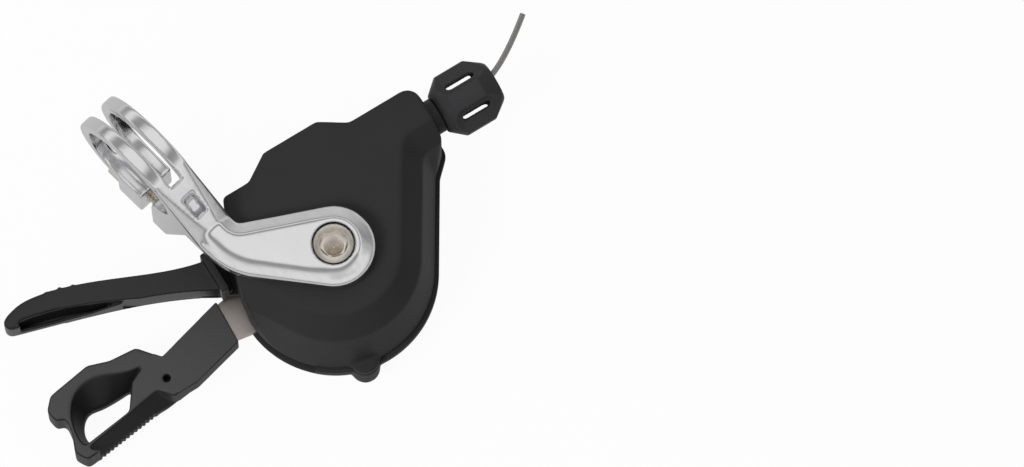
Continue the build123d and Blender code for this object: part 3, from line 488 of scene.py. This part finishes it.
def finish_piece(piece, body, slot, material, *nodes):
    """Dress a piece, and let it ride and stand for its CAD nodes."""
    piece.data.materials.clear()
    piece.data.materials.append(material)
    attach(piece, body)
    if nodes:
        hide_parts(*nodes)
    return piece


def dress_node(node, material):
    """Give a CAD node that keeps its own shape a finish."""
    obj = frame["nodes"][node]
    obj.data.materials.clear()
    obj.data.materials.append(material)


# Materials

def tint(colour, factor):
    """A colour times a factor, kept within white."""
    return tuple(min(1.0, c * factor) for c in colour)


class Shader:
    """Small builder of a procedural surface around one Principled shader."""

    def __init__(self, name):
        self.material = bpy.data.materials.new(name)
        self.material.use_nodes = True
        self.tree = self.material.node_tree
        self.surface = self.tree.nodes["Principled BSDF"]
        self.coords = self.tree.nodes.new("ShaderNodeTexCoord")

    def set(self, **sockets):
        """Set inputs of the Principled shader, with underscores for spaces in their names."""
        for socket, value in sockets.items():
            self.surface.inputs[socket.replace("_", " ")].default_value = value
        return self

    def node(self, kind, **values):
        """Add a node and set its values."""
        made = self.tree.nodes.new(kind)
        for key, value in values.items():
            setattr(made, key, value)
        return made

    def link(self, source, target):
        """Join an output to an input."""
        self.tree.links.new(source, target)

    def mapped(self, scale, turn=(0, 0, 0)):
        """Object coordinates, turned and scaled."""
        mapping = self.node("ShaderNodeMapping")
        mapping.inputs["Scale"].default_value = scale
        mapping.inputs["Rotation"].default_value = turn
        self.link(self.coords.outputs["Object"], mapping.inputs["Vector"])
        return mapping.outputs["Vector"]

    def noise(self, vector, detail, roughness=0.5):
        """Noise at mapped coordinates."""
        made = self.node("ShaderNodeTexNoise")
        made.inputs["Scale"].default_value = 1.0
        made.inputs["Detail"].default_value = detail
        made.inputs["Roughness"].default_value = roughness
        self.link(vector, made.inputs["Vector"])
        return made.outputs["Fac"]

    def spread(self, value, low, high, start=0.3, end=0.7):
        """Stretch a value between a start and an end over a range."""
        made = self.node("ShaderNodeMapRange")
        made.inputs["From Min"].default_value = start
        made.inputs["From Max"].default_value = end
        made.inputs["To Min"].default_value = low
        made.inputs["To Max"].default_value = high
        self.link(value, made.inputs["Value"])
        return made.outputs["Result"]

    def shades(self, value, colour, dark, light):
        """A darker and a lighter tint of a colour, mixed by a value."""
        made = self.node("ShaderNodeMix", data_type="RGBA")
        made.inputs["A"].default_value = (*tint(colour, dark), 1.0)
        made.inputs["B"].default_value = (*tint(colour, light), 1.0)
        self.link(value, made.inputs["Factor"])
        return made.outputs["Result"]

    def colour(self, source):
        """Let an output colour the surface."""
        self.link(source, self.surface.inputs["Base Color"])

    def roughen(self, source):
        """Let an output set the surface's roughness."""
        self.link(source, self.surface.inputs["Roughness"])

    def bump(self, value, depth, strength):
        """Raise the surface by a value."""
        made = self.node("ShaderNodeBump")
        made.inputs["Strength"].default_value = strength
        made.inputs["Distance"].default_value = depth
        self.link(value, made.inputs["Height"])
        self.link(made.outputs["Normal"], self.surface.inputs["Normal"])


def satin_plastic(name, colour, roughness, grain_size=COVER_GRAIN):
    """Moulded plastic with a fine spark-eroded grain."""
    s = Shader(name).set(Metallic=0.0, IOR=PLASTIC_IOR, Specular_IOR_Level=SATIN_GLOSS)
    s.colour(s.shades(s.noise(s.mapped(BROAD), detail=2.0), colour, 0.90, 1.10))
    grain = s.noise(s.mapped((1.0 / grain_size,) * 3), detail=2.0, roughness=0.6)
    s.roughen(s.spread(grain, roughness - 0.05, roughness + 0.06))
    s.bump(grain, GRAIN_DEPTH, 0.55)
    return s.material


def toplit_plastic(name, colour, wall_shade, roughness, gloss, grain_size):
    """Grained plastic with painted top light on upward faces and painted shade on its glossier
    walls.
    """
    s = Shader(name).set(Metallic=0.0, IOR=PLASTIC_IOR, Specular_IOR_Level=gloss)
    # Painted light and shade: the lit colour on faces that look up, a darker tint on steep walls
    up = s.node("ShaderNodeAttribute", attribute_name=UPWARD).outputs["Fac"]
    level = s.spread(up, 0.0, 1.0, TOPLIGHT_STARTS, TOPLIGHT_FULL)
    grain = s.noise(s.mapped((1.0 / grain_size,) * 3), detail=2.0, roughness=0.6)
    paint = s.node("ShaderNodeMix", data_type="RGBA")
    paint.inputs["A"].default_value = (*wall_shade, 1.0)
    s.link(level, paint.inputs["Factor"])
    s.link(s.shades(grain, colour, 0.80, 1.20), paint.inputs["B"])
    s.colour(paint.outputs["Result"])
    s.roughen(s.spread(level, roughness - 0.12, roughness, 0.0, 1.0))
    s.bump(grain, GRAIN_DEPTH, 0.5)
    return s.material


def polished_alloy(name, colour, roughness):
    """Cast aluminium, tumbled and polished, with faint long polishing lines."""
    s = Shader(name).set(Metallic=1.0)
    cloud = s.noise(s.mapped(CLOUDS), detail=2.0)
    s.colour(s.shades(cloud, colour, 0.95, 1.04))
    lines = s.noise(s.mapped(POLISHING), detail=4.0, roughness=0.65)
    s.roughen(s.spread(lines, roughness - 0.04, roughness + 0.07))
    s.bump(cloud, 0.05 * MM, 0.40)
    return s.material


def brushed_metal(name, colour, roughness, turn):
    """Steel with fine brushed lines along one direction."""
    s = Shader(name).set(Metallic=1.0)
    strokes = s.noise(s.mapped(BRUSHING, (0, 0, turn)), detail=3.0, roughness=0.7)
    s.colour(s.shades(strokes, colour, 0.82, 1.12))
    s.roughen(s.spread(strokes, roughness - 0.08, roughness + 0.10))
    s.bump(strokes, 0.004 * MM, 0.5)
    return s.material


def turned_steel(name, colour, roughness):
    """Bright plated steel with fine turning marks."""
    s = Shader(name).set(Metallic=1.0)
    marks = s.noise(s.mapped(TURNING), detail=5.0, roughness=0.7)
    s.colour(s.shades(marks, colour, 0.80, 1.12))
    s.roughen(s.spread(marks, roughness - 0.06, roughness + 0.12))
    s.bump(marks, 0.01 * MM, 0.25)
    return s.material


def plain_metal(name, colour, roughness):
    """Small steel part with a light mottled finish."""
    s = Shader(name).set(Metallic=1.0)
    mottle = s.noise(s.mapped(MOTTLING), detail=4.0, roughness=0.6)
    s.colour(s.shades(mottle, colour, 0.88, 1.08))
    s.roughen(s.spread(mottle, roughness - 0.05, roughness + 0.08))
    s.bump(mottle, 0.003 * MM, 0.4)
    return s.material


# Settings that a user may change

class ShifterFinish(bpy.types.PropertyGroup):
    """Colours and roughness of the finishes"""
    cover: FloatVectorProperty(
        name="Cover", description="Colour of the moulded covers", subtype="COLOR",
        size=3, min=0.0, max=1.0, default=(0.0295, 0.0295, 0.031))
    lever: FloatVectorProperty(
        name="Levers", description="Colour of the moulded lever ends", subtype="COLOR",
        size=3, min=0.0, max=1.0, default=(0.068, 0.068, 0.068))
    grip: FloatVectorProperty(
        name="Grip", description="Colour of the release lever's grip", subtype="COLOR",
        size=3, min=0.0, max=1.0, default=(0.030, 0.030, 0.030))
    knob: FloatVectorProperty(
        name="Adjuster", description="Colour of the barrel adjuster", subtype="COLOR",
        size=3, min=0.0, max=1.0, default=(0.040, 0.040, 0.042))
    alloy: FloatVectorProperty(
        name="Clamp", description="Colour of the polished clamp", subtype="COLOR",
        size=3, min=0.0, max=1.0, default=(0.80, 0.80, 0.81))
    steel: FloatVectorProperty(
        name="Bolts", description="Colour of the bolts", subtype="COLOR",
        size=3, min=0.0, max=1.0, default=(0.80, 0.75, 0.68))
    stem: FloatVectorProperty(
        name="Lever steel", description="Colour of the levers' plates", subtype="COLOR",
        size=3, min=0.0, max=1.0, default=(0.60, 0.54, 0.50))
    alloy_roughness: FloatProperty(
        name="Clamp roughness", description="Roughness of the polished clamp",
        subtype="FACTOR", min=0.0, max=1.0, default=0.16)
    cover_roughness: FloatProperty(
        name="Cover roughness", description="Roughness of the covers",
        subtype="FACTOR", min=0.0, max=1.0, default=0.50)


class ShifterCable(bpy.types.PropertyGroup):
    """Strands of the gear cable"""
    wires: IntProperty(
        name="Wires", description="Wires in the cable's outer layer",
        min=6, max=24, default=12)
    lay: FloatProperty(
        name="Lay", description="Length of one turn of the cable's wires",
        unit="LENGTH", default=9.0 * MM)


class ShifterBolts(bpy.types.PropertyGroup):
    """Sizes that the two socket-head bolts share"""
    head_radius: FloatProperty(
        name="Head radius", description="Radius of the bolts' heads",
        unit="LENGTH", default=4.0 * MM)
    head_height: FloatProperty(
        name="Head height", description="Height of the bolts' heads",
        unit="LENGTH", default=3.6 * MM)
    socket: FloatProperty(
        name="Socket", description="Width of the hexagon socket across its flats",
        unit="LENGTH", default=5.0 * MM)
    thread_radius: FloatProperty(
        name="Thread radius", description="Outer radius of the bolts' threads",
        unit="LENGTH", default=2.5 * MM)


class ShifterStudio(bpy.types.PropertyGroup):
    """Floor, lights and lens of the studio"""
    floor: FloatVectorProperty(
        name="Floor", description="Colour of the floor", subtype="COLOR",
        size=3, min=0.0, max=1.0, default=(0.32, 0.32, 0.32))
    key: FloatProperty(
        name="Key light", description="Power of the large soft key light",
        unit="POWER", default=4.6)
    fill: FloatProperty(
        name="Fill light", description="Power of the fill light",
        unit="POWER", default=0.8)
    sky: FloatProperty(
        name="Surround", description="Strength of the studio surround",
        default=0.70)
    lens: FloatProperty(
        name="Lens", description="Focal length of the camera",
        unit="CAMERA", default=400.0)


# Operators, one for each piece or group of like pieces

class SHIFTER_OT_clamp(bpy.types.Operator):
    """Round and polish the handlebar clamp with its arm"""
    bl_idname = "shifter.clamp"
    bl_label = "Handlebar clamp"

    def execute(self, context):
        finish = context.scene.shifter_finish
        piece = copy_of_node("clamp_bracket", "clamp_casting")
        round_over(piece, *SKINS["clamp_bracket"], self.wear)
        alloy = polished_alloy("clamp_polish", finish.alloy, finish.alloy_roughness)
        finish_piece(piece, "housing", "clamp_alloy", alloy, "clamp_bracket")
        return {"FINISHED"}

    def wear(self, spot):
        """Keep the bolt's seat crisp, polish the rest round, and the arm's near top edge most."""
        offset = spot.xy - AXLE.xy
        clear = min(1.0, max(0.0, (offset.length - SEAT_RADIUS) / SEAT_FADE))
        along, across = offset.dot(ARM_ALONG), offset.dot(ARM_ACROSS)
        near = across < max(ARM_NEAR_SIDE, ARM_BEND_SLOPE * (along - ARM_BEND))
        broad = near and along > ARM_START and spot.z > ARM_EDGE_Z
        return max(SEAT_WEAR, clear * (ARM_EDGE_WEAR if broad else CLAMP_WEAR))


class SHIFTER_OT_bolts(bpy.types.Operator):
    """Model the two socket-head bolts with their threads"""
    bl_idname = "shifter.bolts"
    bl_label = "Socket bolts"

    def execute(self, context):
        finish, sizes = context.scene.shifter_finish, context.scene.shifter_bolts
        steel = turned_steel("bolt_bright", finish.steel, 0.24)
        seat = ARM_TOP - sizes.head_height
        sideways = Matrix.Rotation(math.radians(-90.0), 4, "X")
        places = {
            "clamp_bolt": (CLAMP_BOLT_SHANK,
                           Matrix.Translation((0.0, LUG_FACE_Y, CLAMP_BOLT_Z)) @ sideways),
            "bracket_bolt": (BRACKET_BOLT_SHANK,
                             Matrix.Translation((AXLE.x, AXLE.y, seat))),
        }
        for node, (shank, place) in places.items():
            bolt = set_place(self.bolt(node + "_turned", sizes, shank), place)
            smooth(bolt)
            finish_piece(bolt, "housing", "bolt_steel", steel, node)
        return {"FINISHED"}

    def bolt(self, name, sizes, shank):
        """A bolt with its head's seat at height 0 and its shank down."""
        height, radius = sizes.head_height, sizes.head_radius
        flats = sizes.socket / 2
        corners = flats / math.cos(math.radians(30.0))
        head = add_cylinder(name, HEAD_SIDES, radius, 0.0, height)
        edit_edges(head, level_edge(height))
        bpy.ops.mesh.bevel(offset=HEAD_BEVEL, segments=3, affect="EDGES")
        bpy.ops.object.mode_set(mode="OBJECT")
        crown = add_cylinder("crown", HEAD_SIDES, radius * CROWN_FOOT, CROWN_BOTTOM,
                             height + CROWN_RISE, flats * CROWN_TIP)
        combine(head, crown, "INTERSECT")
        lead = add_cylinder("lead_in", HEAD_SIDES, flats * LEAD_FOOT, height - LEAD_DEPTH,
                            height + LEAD_RISE, flats * LEAD_TIP)
        combine(head, lead, "DIFFERENCE")
        thread = threaded_rod("shank", sizes.thread_radius - BOLT_THREAD_DEPTH,
                              sizes.thread_radius, BOLT_PITCH, -shank, BOLT_SINK)
        combine(head, thread, "UNION")
        hexagon = add_cylinder("socket", 6, corners, height - SOCKET_DEPTH, height + MM)
        drill = add_cylinder("drill_point", DRILL_SIDES, DRILL_POINT, height - DRILL_DEPTH,
                             height - DRILL_TOP, flats * DRILL_WIDTH)
        return combine(head, combine(hexagon, drill, "UNION"), "DIFFERENCE")


class SHIFTER_OT_covers(bpy.types.Operator):
    """Round the edges of the two moulded covers"""
    bl_idname = "shifter.covers"
    bl_label = "Covers"

    def execute(self, context):
        finish = context.scene.shifter_finish
        black = satin_plastic("cover_satin", finish.cover, finish.cover_roughness)
        for node in ("top_cover", "bottom_cover"):
            piece = copy_of_node(node, node + "_shell")
            round_over(piece, *SKINS[node])
            finish_piece(piece, "housing", "cover_black", black, node)
        plug = copy_of_node("cable_hole_plug", "cable_plug")
        soften(plug, PLUG_EDGE)
        finish_piece(plug, "housing", "cover_black", black, "cable_hole_plug")
        return {"FINISHED"}


class SHIFTER_OT_screws(bpy.types.Operator):
    """Model the three cross-slot cover screws and set them under the base"""
    bl_idname = "shifter.screws"
    bl_label = "Cover screws"

    def execute(self, context):
        zinc = plain_metal("screw_zinc", context.scene.shifter_finish.steel, 0.34)
        column = self.screw("cover_screw_left", COLUMN_SHANK)
        places = (
            (column, LEFT_COLUMN, COLUMN_SEAT_Z),
            (twin(column, "cover_screw_right"), RIGHT_COLUMN, COLUMN_SEAT_Z),
            (self.screw("cover_screw_ear", EAR_SHANK), EAR, EAR_SEAT_Z),
        )
        for screw, (u, w), seat in places:
            set_place(screw, UNIT @ Matrix.Translation((u * MM, w * MM, seat)))
            smooth(screw, 40)
            finish_piece(screw, "housing", "bolt_steel", zinc, "cover_screws")
        return {"FINISHED"}

    def screw(self, name, shank):
        """A pan head that looks down from its seat at height 0, with its shank up."""
        head = add_cylinder(name, SCREW_SIDES, SCREW_HEAD_RADIUS, -SCREW_HEAD_HEIGHT, 0.0)
        edit_edges(head, level_edge(-SCREW_HEAD_HEIGHT))
        bpy.ops.mesh.bevel(offset=SCREW_HEAD_ROUND, segments=5, affect="EDGES")
        bpy.ops.object.mode_set(mode="OBJECT")
        for size in SCREW_CROSS:
            bar = add_bar("cross", Vector(size) * MM, (0.0, 0.0, SCREW_CROSS_Z))
            combine(head, bar, "DIFFERENCE")
        thread = threaded_rod("coarse", SCREW_ROOT, SCREW_CREST, SCREW_PITCH, -SCREW_SINK, shank)
        return combine(head, thread, "UNION")


class SHIFTER_OT_levers(bpy.types.Operator):
    """Finish the two levers' plates and their moulded ends"""
    bl_idname = "shifter.levers"
    bl_label = "Levers"

    def execute(self, context):
        finish = context.scene.shifter_finish
        # Painted light: each lever end's own colour on upward faces as painted top light, a darker
        # tint on walls as painted shade
        plastic = toplit_plastic("lever_satin", finish.lever, tint(finish.lever, 0.25),
                                   roughness=0.50, gloss=0.08, grain_size=PAD_GRAIN)
        glossy = toplit_plastic("grip_gloss", finish.grip, tint(finish.grip, 0.45),
                                  roughness=0.36, gloss=0.14, grain_size=GRIP_GRAIN)
        steel = brushed_metal("lever_brushed", finish.stem, 0.40, UNIT_TURN)
        black = brushed_metal("lever_blacked", BLACKED_STEEL, 0.42, UNIT_TURN)
        pad = copy_of_node("main_lever_pad", "main_lever_moulding")
        round_over(pad, *SKINS["main_lever_pad"], self.pad_wear)
        finish_piece(pad, "main_lever", "lever_plastic", plastic, "main_lever_pad")
        grip = copy_of_node("release_lever_grip", "release_lever_moulding")
        round_over(grip, *SKINS["release_lever_grip"], self.grip_wear)
        finish_piece(grip, "release_lever", "lever_plastic", glossy, "release_lever_grip")
        for node, body, metal in (("main_lever_arm", "main_lever", steel),
                                  ("release_lever_arm", "release_lever", black)):
            piece = copy_of_node(node, node + "_plate")
            soften(piece, PLATE_EDGE, segments=2)
            finish_piece(piece, body, "lever_steel", metal, node)
        return {"FINISHED"}

    def pad_wear(self, vertex):
        """Round the hooked end well, break the block's edges, and keep the fine teeth."""
        spot = UNIT_INVERSE @ vertex
        if not self.clear_of_teeth(spot):
            return TEETH_WEAR
        return HOOK_WEAR if spot.x < HOOK_START else BLOCK_WEAR

    def clear_of_teeth(self, spot):
        """Whether a spot lies away from the fine teeth of the pad's lower edge."""
        run = (TEETH_END - TEETH_START).normalized()
        along = (spot.xy - TEETH_START).dot(run)
        across = abs((spot.xy - TEETH_START).dot(Vector((-run.y, run.x))))
        beside = -TEETH_MARGIN < along < (TEETH_END - TEETH_START).length + TEETH_MARGIN
        return not (beside and across < TEETH_REACH)

    def grip_wear(self, vertex):
        """Round the tip fully, and the rest of the grip less."""
        spot = UNIT_INVERSE @ vertex
        return GRIP_TIP_WEAR if spot.x < GRIP_TIP_START else GRIP_WEAR


class SHIFTER_OT_adjuster(bpy.types.Operator):
    """Finish the barrel adjuster and its click collar"""
    bl_idname = "shifter.adjuster"
    bl_label = "Barrel adjuster"

    def execute(self, context):
        finish = context.scene.shifter_finish
        plastic = satin_plastic("knob_satin", finish.knob, 0.40, grain_size=KNOB_GRAIN)
        knob = copy_of_node("adjuster_knob", "adjuster_grip")
        round_over(knob, *SKINS["adjuster_knob"])
        finish_piece(knob, "adjuster", "knob_plastic", plastic, "adjuster_knob")
        collar = copy_of_node("detent_collar", "click_collar")
        soften(collar, COLLAR_EDGE)
        finish_piece(collar, "adjuster_collar", "knob_plastic", plastic, "detent_collar")
        return {"FINISHED"}


class SHIFTER_OT_cable(bpy.types.Operator):
    """Lay the stranded gear cable along its route, from the spool's groove to its cut end"""
    bl_idname = "shifter.cable"
    bl_label = "Gear cable"

    def execute(self, context):
        strands = context.scene.shifter_cable
        spots = [UNIT @ Vector((u * MM, w * MM, CABLE_Z)) for u, w in CABLE_ROUTE]
        lay = bpy.data.curves.new("gear_cable", "CURVE")
        lay.dimensions = "3D"
        line = lay.splines.new("NURBS")
        line.points.add(len(spots) - 1)
        run = 0.0
        for index, spot in enumerate(spots):
            run += (spot - spots[index - 1]).length if index else 0.0
            line.points[index].co = (*spot, 1.0)
            line.points[index].tilt = run / strands.lay * math.tau
        line.order_u = 3
        line.use_endpoint_u = True
        line.resolution_u = 32
        section = self.section(strands)
        lay.bevel_mode = "OBJECT"
        lay.bevel_object = section
        lay.use_fill_caps = True
        cable = bpy.data.objects.new("gear_cable", lay)
        context.scene.collection.objects.link(cable)
        select_only(cable)
        bpy.ops.object.convert(target="MESH")
        cable = bpy.context.object
        bpy.ops.object.mode_set(mode="EDIT")
        bpy.ops.mesh.select_all(action="SELECT")
        bpy.ops.mesh.remove_doubles(threshold=WIRE_MERGE_GAP)
        bpy.ops.mesh.normals_make_consistent(inside=False)
        bpy.ops.object.mode_set(mode="OBJECT")
        bpy.data.objects.remove(section, do_unlink=True)
        smooth(cable, 50)
        metal = plain_metal("cable_wire", CABLE_COLOUR, 0.36)
        finish_piece(cable, "housing", "cable_steel", metal, "inner_cable")
        return {"FINISHED"}

    def section(self, strands):
        """Closed outline of the outer wires, side by side round the core."""
        outline = bpy.data.curves.new("cable_section", "CURVE")
        outline.dimensions = "2D"
        ring = outline.splines.new("POLY")
        steps = strands.wires * CABLE_STEPS
        ring.points.add(steps - 1)
        for index in range(steps):
            angle = math.tau * index / steps
            lobe = abs(math.sin(angle * strands.wires / 2))
            radius = CABLE_CORE + CABLE_WIRE_RISE * lobe
            ring.points[index].co = (radius * math.cos(angle), radius * math.sin(angle), 0.0, 1.0)
        ring.use_cyclic_u = True
        section = bpy.data.objects.new("cable_section", outline)
        bpy.context.scene.collection.objects.link(section)
        return section


class SHIFTER_OT_mechanism(bpy.types.Operator):
    """Give the pieces inside the covers their finishes, and cut rings into the release spring's
    legs
    """
    bl_idname = "shifter.mechanism"
    bl_label = "Mechanism"

    def execute(self, context):
        steel = plain_metal("inner_bright", STEEL_COLOUR, 0.30)
        spring = plain_metal("spring_wire", SPRING_COLOUR, 0.32)
        cast = plain_metal("inner_cast", CAST_COLOUR, 0.42)
        natural = satin_plastic("spool_natural", SPOOL_COLOUR, 0.42)
        for node in INNER_STEEL:
            dress_node(node, steel)
        for node in INNER_SPRINGS:
            dress_node(node, spring)
        self.hairpin(spring)
        dress_node("adjuster_bracket", cast)
        dress_node("take_up_spool", natural)
        return {"FINISHED"}

    def hairpin(self, metal):
        """Copy the release lever's spring with rings cut between its coil and the lever's tab."""
        wire = copy_of_node("release_spring", "release_hairpin")
        out = UNIT.to_3x3() @ Matrix.Rotation(HAIRPIN_TURN, 3, "Z") @ Vector((1.0, 0.0, 0.0))
        coil, tab = AXLE + out * HAIRPIN_COIL, AXLE + out * HAIRPIN_TAB
        bpy.ops.object.mode_set(mode="EDIT")
        for ring in range(HAIRPIN_RINGS + 1):
            bpy.ops.mesh.select_all(action="SELECT")
            bpy.ops.mesh.bisect(plane_co=coil.lerp(tab, ring / HAIRPIN_RINGS), plane_no=out)
        bpy.ops.object.mode_set(mode="OBJECT")
        smooth(wire, 40)
        wire.data.materials.append(metal)
        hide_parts("release_spring")
        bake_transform(wire)


class SHIFTER_OT_stage(bpy.types.Operator):
    """Set up the pale floor, the soft studio light and the camera"""
    bl_idname = "shifter.stage"
    bl_label = "Studio"

    def execute(self, context):
        scene = context.scene
        studio = scene.shifter_studio
        self.floor(studio)
        self.surround(scene, studio)
        self.lamp("key_light", KEY_PLACE, KEY_WIDTH, studio.key)
        self.lamp("fill_light", FILL_PLACE, FILL_WIDTH, studio.fill)
        self.camera(scene, studio)
        scene.view_settings.view_transform = "Standard"
        return {"FINISHED"}

    def floor(self, studio):
        """A paper floor that looks nearly white to the camera and grey in reflections."""
        bpy.ops.object.select_all(action="DESELECT")
        bpy.ops.mesh.primitive_grid_add(x_subdivisions=8, y_subdivisions=8, size=FLOOR_SIZE,
                                        location=(0.0, 0.0, CAD_BOX[0].z - FLOOR_GAP))
        floor = bpy.context.object
        floor.name = floor.data.name = "floor"
        bpy.ops.object.transform_apply(location=True)
        s = Shader("floor_paper").set(Roughness=0.9, Base_Color=(*studio.floor, 1.0))
        path = s.node("ShaderNodeLightPath")
        mirrored = s.node("ShaderNodeMath", operation="MULTIPLY")
        mirrored.inputs[1].default_value = FLOOR_MIRRORED
        s.link(path.outputs["Is Glossy Ray"], mirrored.inputs[0])
        share = s.node("ShaderNodeMath", operation="MULTIPLY_ADD")
        share.inputs[1].default_value = FLOOR_SEEN
        s.link(path.outputs["Is Camera Ray"], share.inputs[0])
        s.link(mirrored.outputs["Value"], share.inputs[2])
        glow = s.node("ShaderNodeEmission")
        glow.inputs["Strength"].default_value = FLOOR_GLOW
        mix = s.node("ShaderNodeMixShader")
        s.link(share.outputs["Value"], mix.inputs["Fac"])
        s.link(s.surface.outputs["BSDF"], mix.inputs[1])
        s.link(glow.outputs["Emission"], mix.inputs[2])
        s.link(mix.outputs["Shader"], s.tree.nodes["Material Output"].inputs["Surface"])
        floor.data.materials.append(s.material)

    def surround(self, scene, studio):
        """White to the camera, soft light from above, and light cards in reflections."""
        world = bpy.data.worlds.new("studio")
        scene.world = world
        world.use_nodes = True
        nodes, links = world.node_tree.nodes, world.node_tree.links
        coords = nodes.new("ShaderNodeTexCoord")
        parts = nodes.new("ShaderNodeSeparateXYZ")
        links.new(coords.outputs["Generated"], parts.inputs["Vector"])
        path = nodes.new("ShaderNodeLightPath")
        lighting = self.bands(nodes, links, parts.outputs["Z"], SKY_SHADES, studio.sky)
        mirrored = self.bands(nodes, links, parts.outputs["Z"], CARD_SHADES, CARD_STRENGTH)
        seen = nodes.new("ShaderNodeBackground")
        seen.inputs["Color"].default_value = (1.0, 1.0, 1.0, 1.0)
        sheen = nodes.new("ShaderNodeMixShader")
        links.new(path.outputs["Is Glossy Ray"], sheen.inputs["Fac"])
        links.new(lighting, sheen.inputs[1])
        links.new(mirrored, sheen.inputs[2])
        mix = nodes.new("ShaderNodeMixShader")
        links.new(path.outputs["Is Camera Ray"], mix.inputs["Fac"])
        links.new(sheen.outputs["Shader"], mix.inputs[1])
        links.new(seen.outputs["Background"], mix.inputs[2])
        links.new(mix.outputs["Shader"], nodes["World Output"].inputs["Surface"])
        nodes.remove(nodes["Background"])

    def bands(self, nodes, links, height, shades, strength):
        """Background whose brightness goes by how high it stands."""
        ramp = nodes.new("ShaderNodeValToRGB")
        stops = ramp.color_ramp.elements
        stops[0].position, stops[1].position = shades[0][0], shades[-1][0]
        for place, _ in shades[1:-1]:
            stops.new(place)
        for stop, (_, shade) in zip(stops, shades):
            stop.color = (shade, shade, shade, 1.0)
        links.new(height, ramp.inputs["Fac"])
        light = nodes.new("ShaderNodeBackground")
        light.inputs["Strength"].default_value = strength
        links.new(ramp.outputs["Color"], light.inputs["Color"])
        return light.outputs["Background"]

    def lamp(self, name, place, size, power):
        """An area lamp that looks at the unit's axle and shows in no reflection."""
        bpy.ops.object.light_add(type="AREA", location=place)
        lamp = bpy.context.object
        lamp.name = name
        lamp.data.shape = "RECTANGLE"
        lamp.data.size = size
        lamp.data.size_y = size * LAMP_SHAPE
        lamp.data.energy = power
        aim = AXLE - Vector(place)
        lamp.rotation_mode = "QUATERNION"
        lamp.rotation_quaternion = aim.to_track_quat("-Z", "Y")
        lamp.visible_camera = lamp.visible_glossy = False

    def camera(self, scene, studio):
        """A long lens that looks down on the unit from high above, with the unit at the left."""
        flat = math.cos(VIEW_ELEVATION)
        back = Vector((math.sin(VIEW_AZIMUTH) * flat, -math.cos(VIEW_AZIMUTH) * flat,
                       math.sin(VIEW_ELEVATION)))
        right = Vector((math.cos(VIEW_AZIMUTH), math.sin(VIEW_AZIMUTH), 0.0))
        up = back.cross(right)
        target = right * VIEW_RIGHT - up * VIEW_DOWN
        bpy.ops.object.camera_add()
        camera = bpy.context.object
        camera.name = "camera"
        camera.data.sensor_width = SENSOR_WIDTH
        camera.data.lens = studio.lens
        distance = VIEW_WIDTH * studio.lens / camera.data.sensor_width
        camera.location = target + back * distance
        camera.rotation_mode = "QUATERNION"
        camera.rotation_quaternion = (-back).to_track_quat("-Z", "Y")
        camera.data.clip_start = CLIP_START
        camera.data.clip_end = CLIP_END
        scene.camera = camera


class SHIFTER_PT_panel(bpy.types.Panel):
    """Settings and steps of the shifter"""
    bl_idname = "SHIFTER_PT_panel"
    bl_label = "Trigger gear shifter"
    bl_space_type = "VIEW_3D"
    bl_region_type = "UI"
    bl_category = "Shifter"

    def draw(self, context):
        layout = self.layout
        scene = context.scene
        for title, group in (("Finish", scene.shifter_finish), ("Cable", scene.shifter_cable),
                             ("Bolts", scene.shifter_bolts), ("Studio", scene.shifter_studio)):
            box = layout.box()
            box.label(text=title)
            for name in group.bl_rna.properties.keys():
                if name not in ("rna_type", "name"):
                    box.prop(group, name)
        for step in STEPS:
            layout.operator(step.bl_idname)


STEPS = (
    SHIFTER_OT_clamp, SHIFTER_OT_bolts, SHIFTER_OT_covers, SHIFTER_OT_screws, SHIFTER_OT_levers,
    SHIFTER_OT_adjuster, SHIFTER_OT_cable, SHIFTER_OT_mechanism, SHIFTER_OT_stage,
)
CLASSES = (ShifterFinish, ShifterCable, ShifterBolts, ShifterStudio, *STEPS, SHIFTER_PT_panel)


def register():
    """Register the classes and hang the settings on the scene."""
    for cls in CLASSES:
        bpy.utils.register_class(cls)
    bpy.types.Scene.shifter_finish = PointerProperty(type=ShifterFinish)
    bpy.types.Scene.shifter_cable = PointerProperty(type=ShifterCable)
    bpy.types.Scene.shifter_bolts = PointerProperty(type=ShifterBolts)
    bpy.types.Scene.shifter_studio = PointerProperty(type=ShifterStudio)


def unregister():
    """Take the settings off the scene and unregister the classes."""
    del bpy.types.Scene.shifter_studio
    del bpy.types.Scene.shifter_bolts
    del bpy.types.Scene.shifter_cable
    del bpy.types.Scene.shifter_finish
    for cls in reversed(CLASSES):
        bpy.utils.unregister_class(cls)


def main():
    """Build every piece."""
    register()
    bpy.ops.shifter.stage()
    bpy.ops.shifter.cable()
    bpy.ops.shifter.clamp()
    bpy.ops.shifter.bolts()
    bpy.ops.shifter.covers()
    bpy.ops.shifter.screws()
    bpy.ops.shifter.levers()
    bpy.ops.shifter.adjuster()
    bpy.ops.shifter.mechanism()


if __name__ == "__main__":
    main()
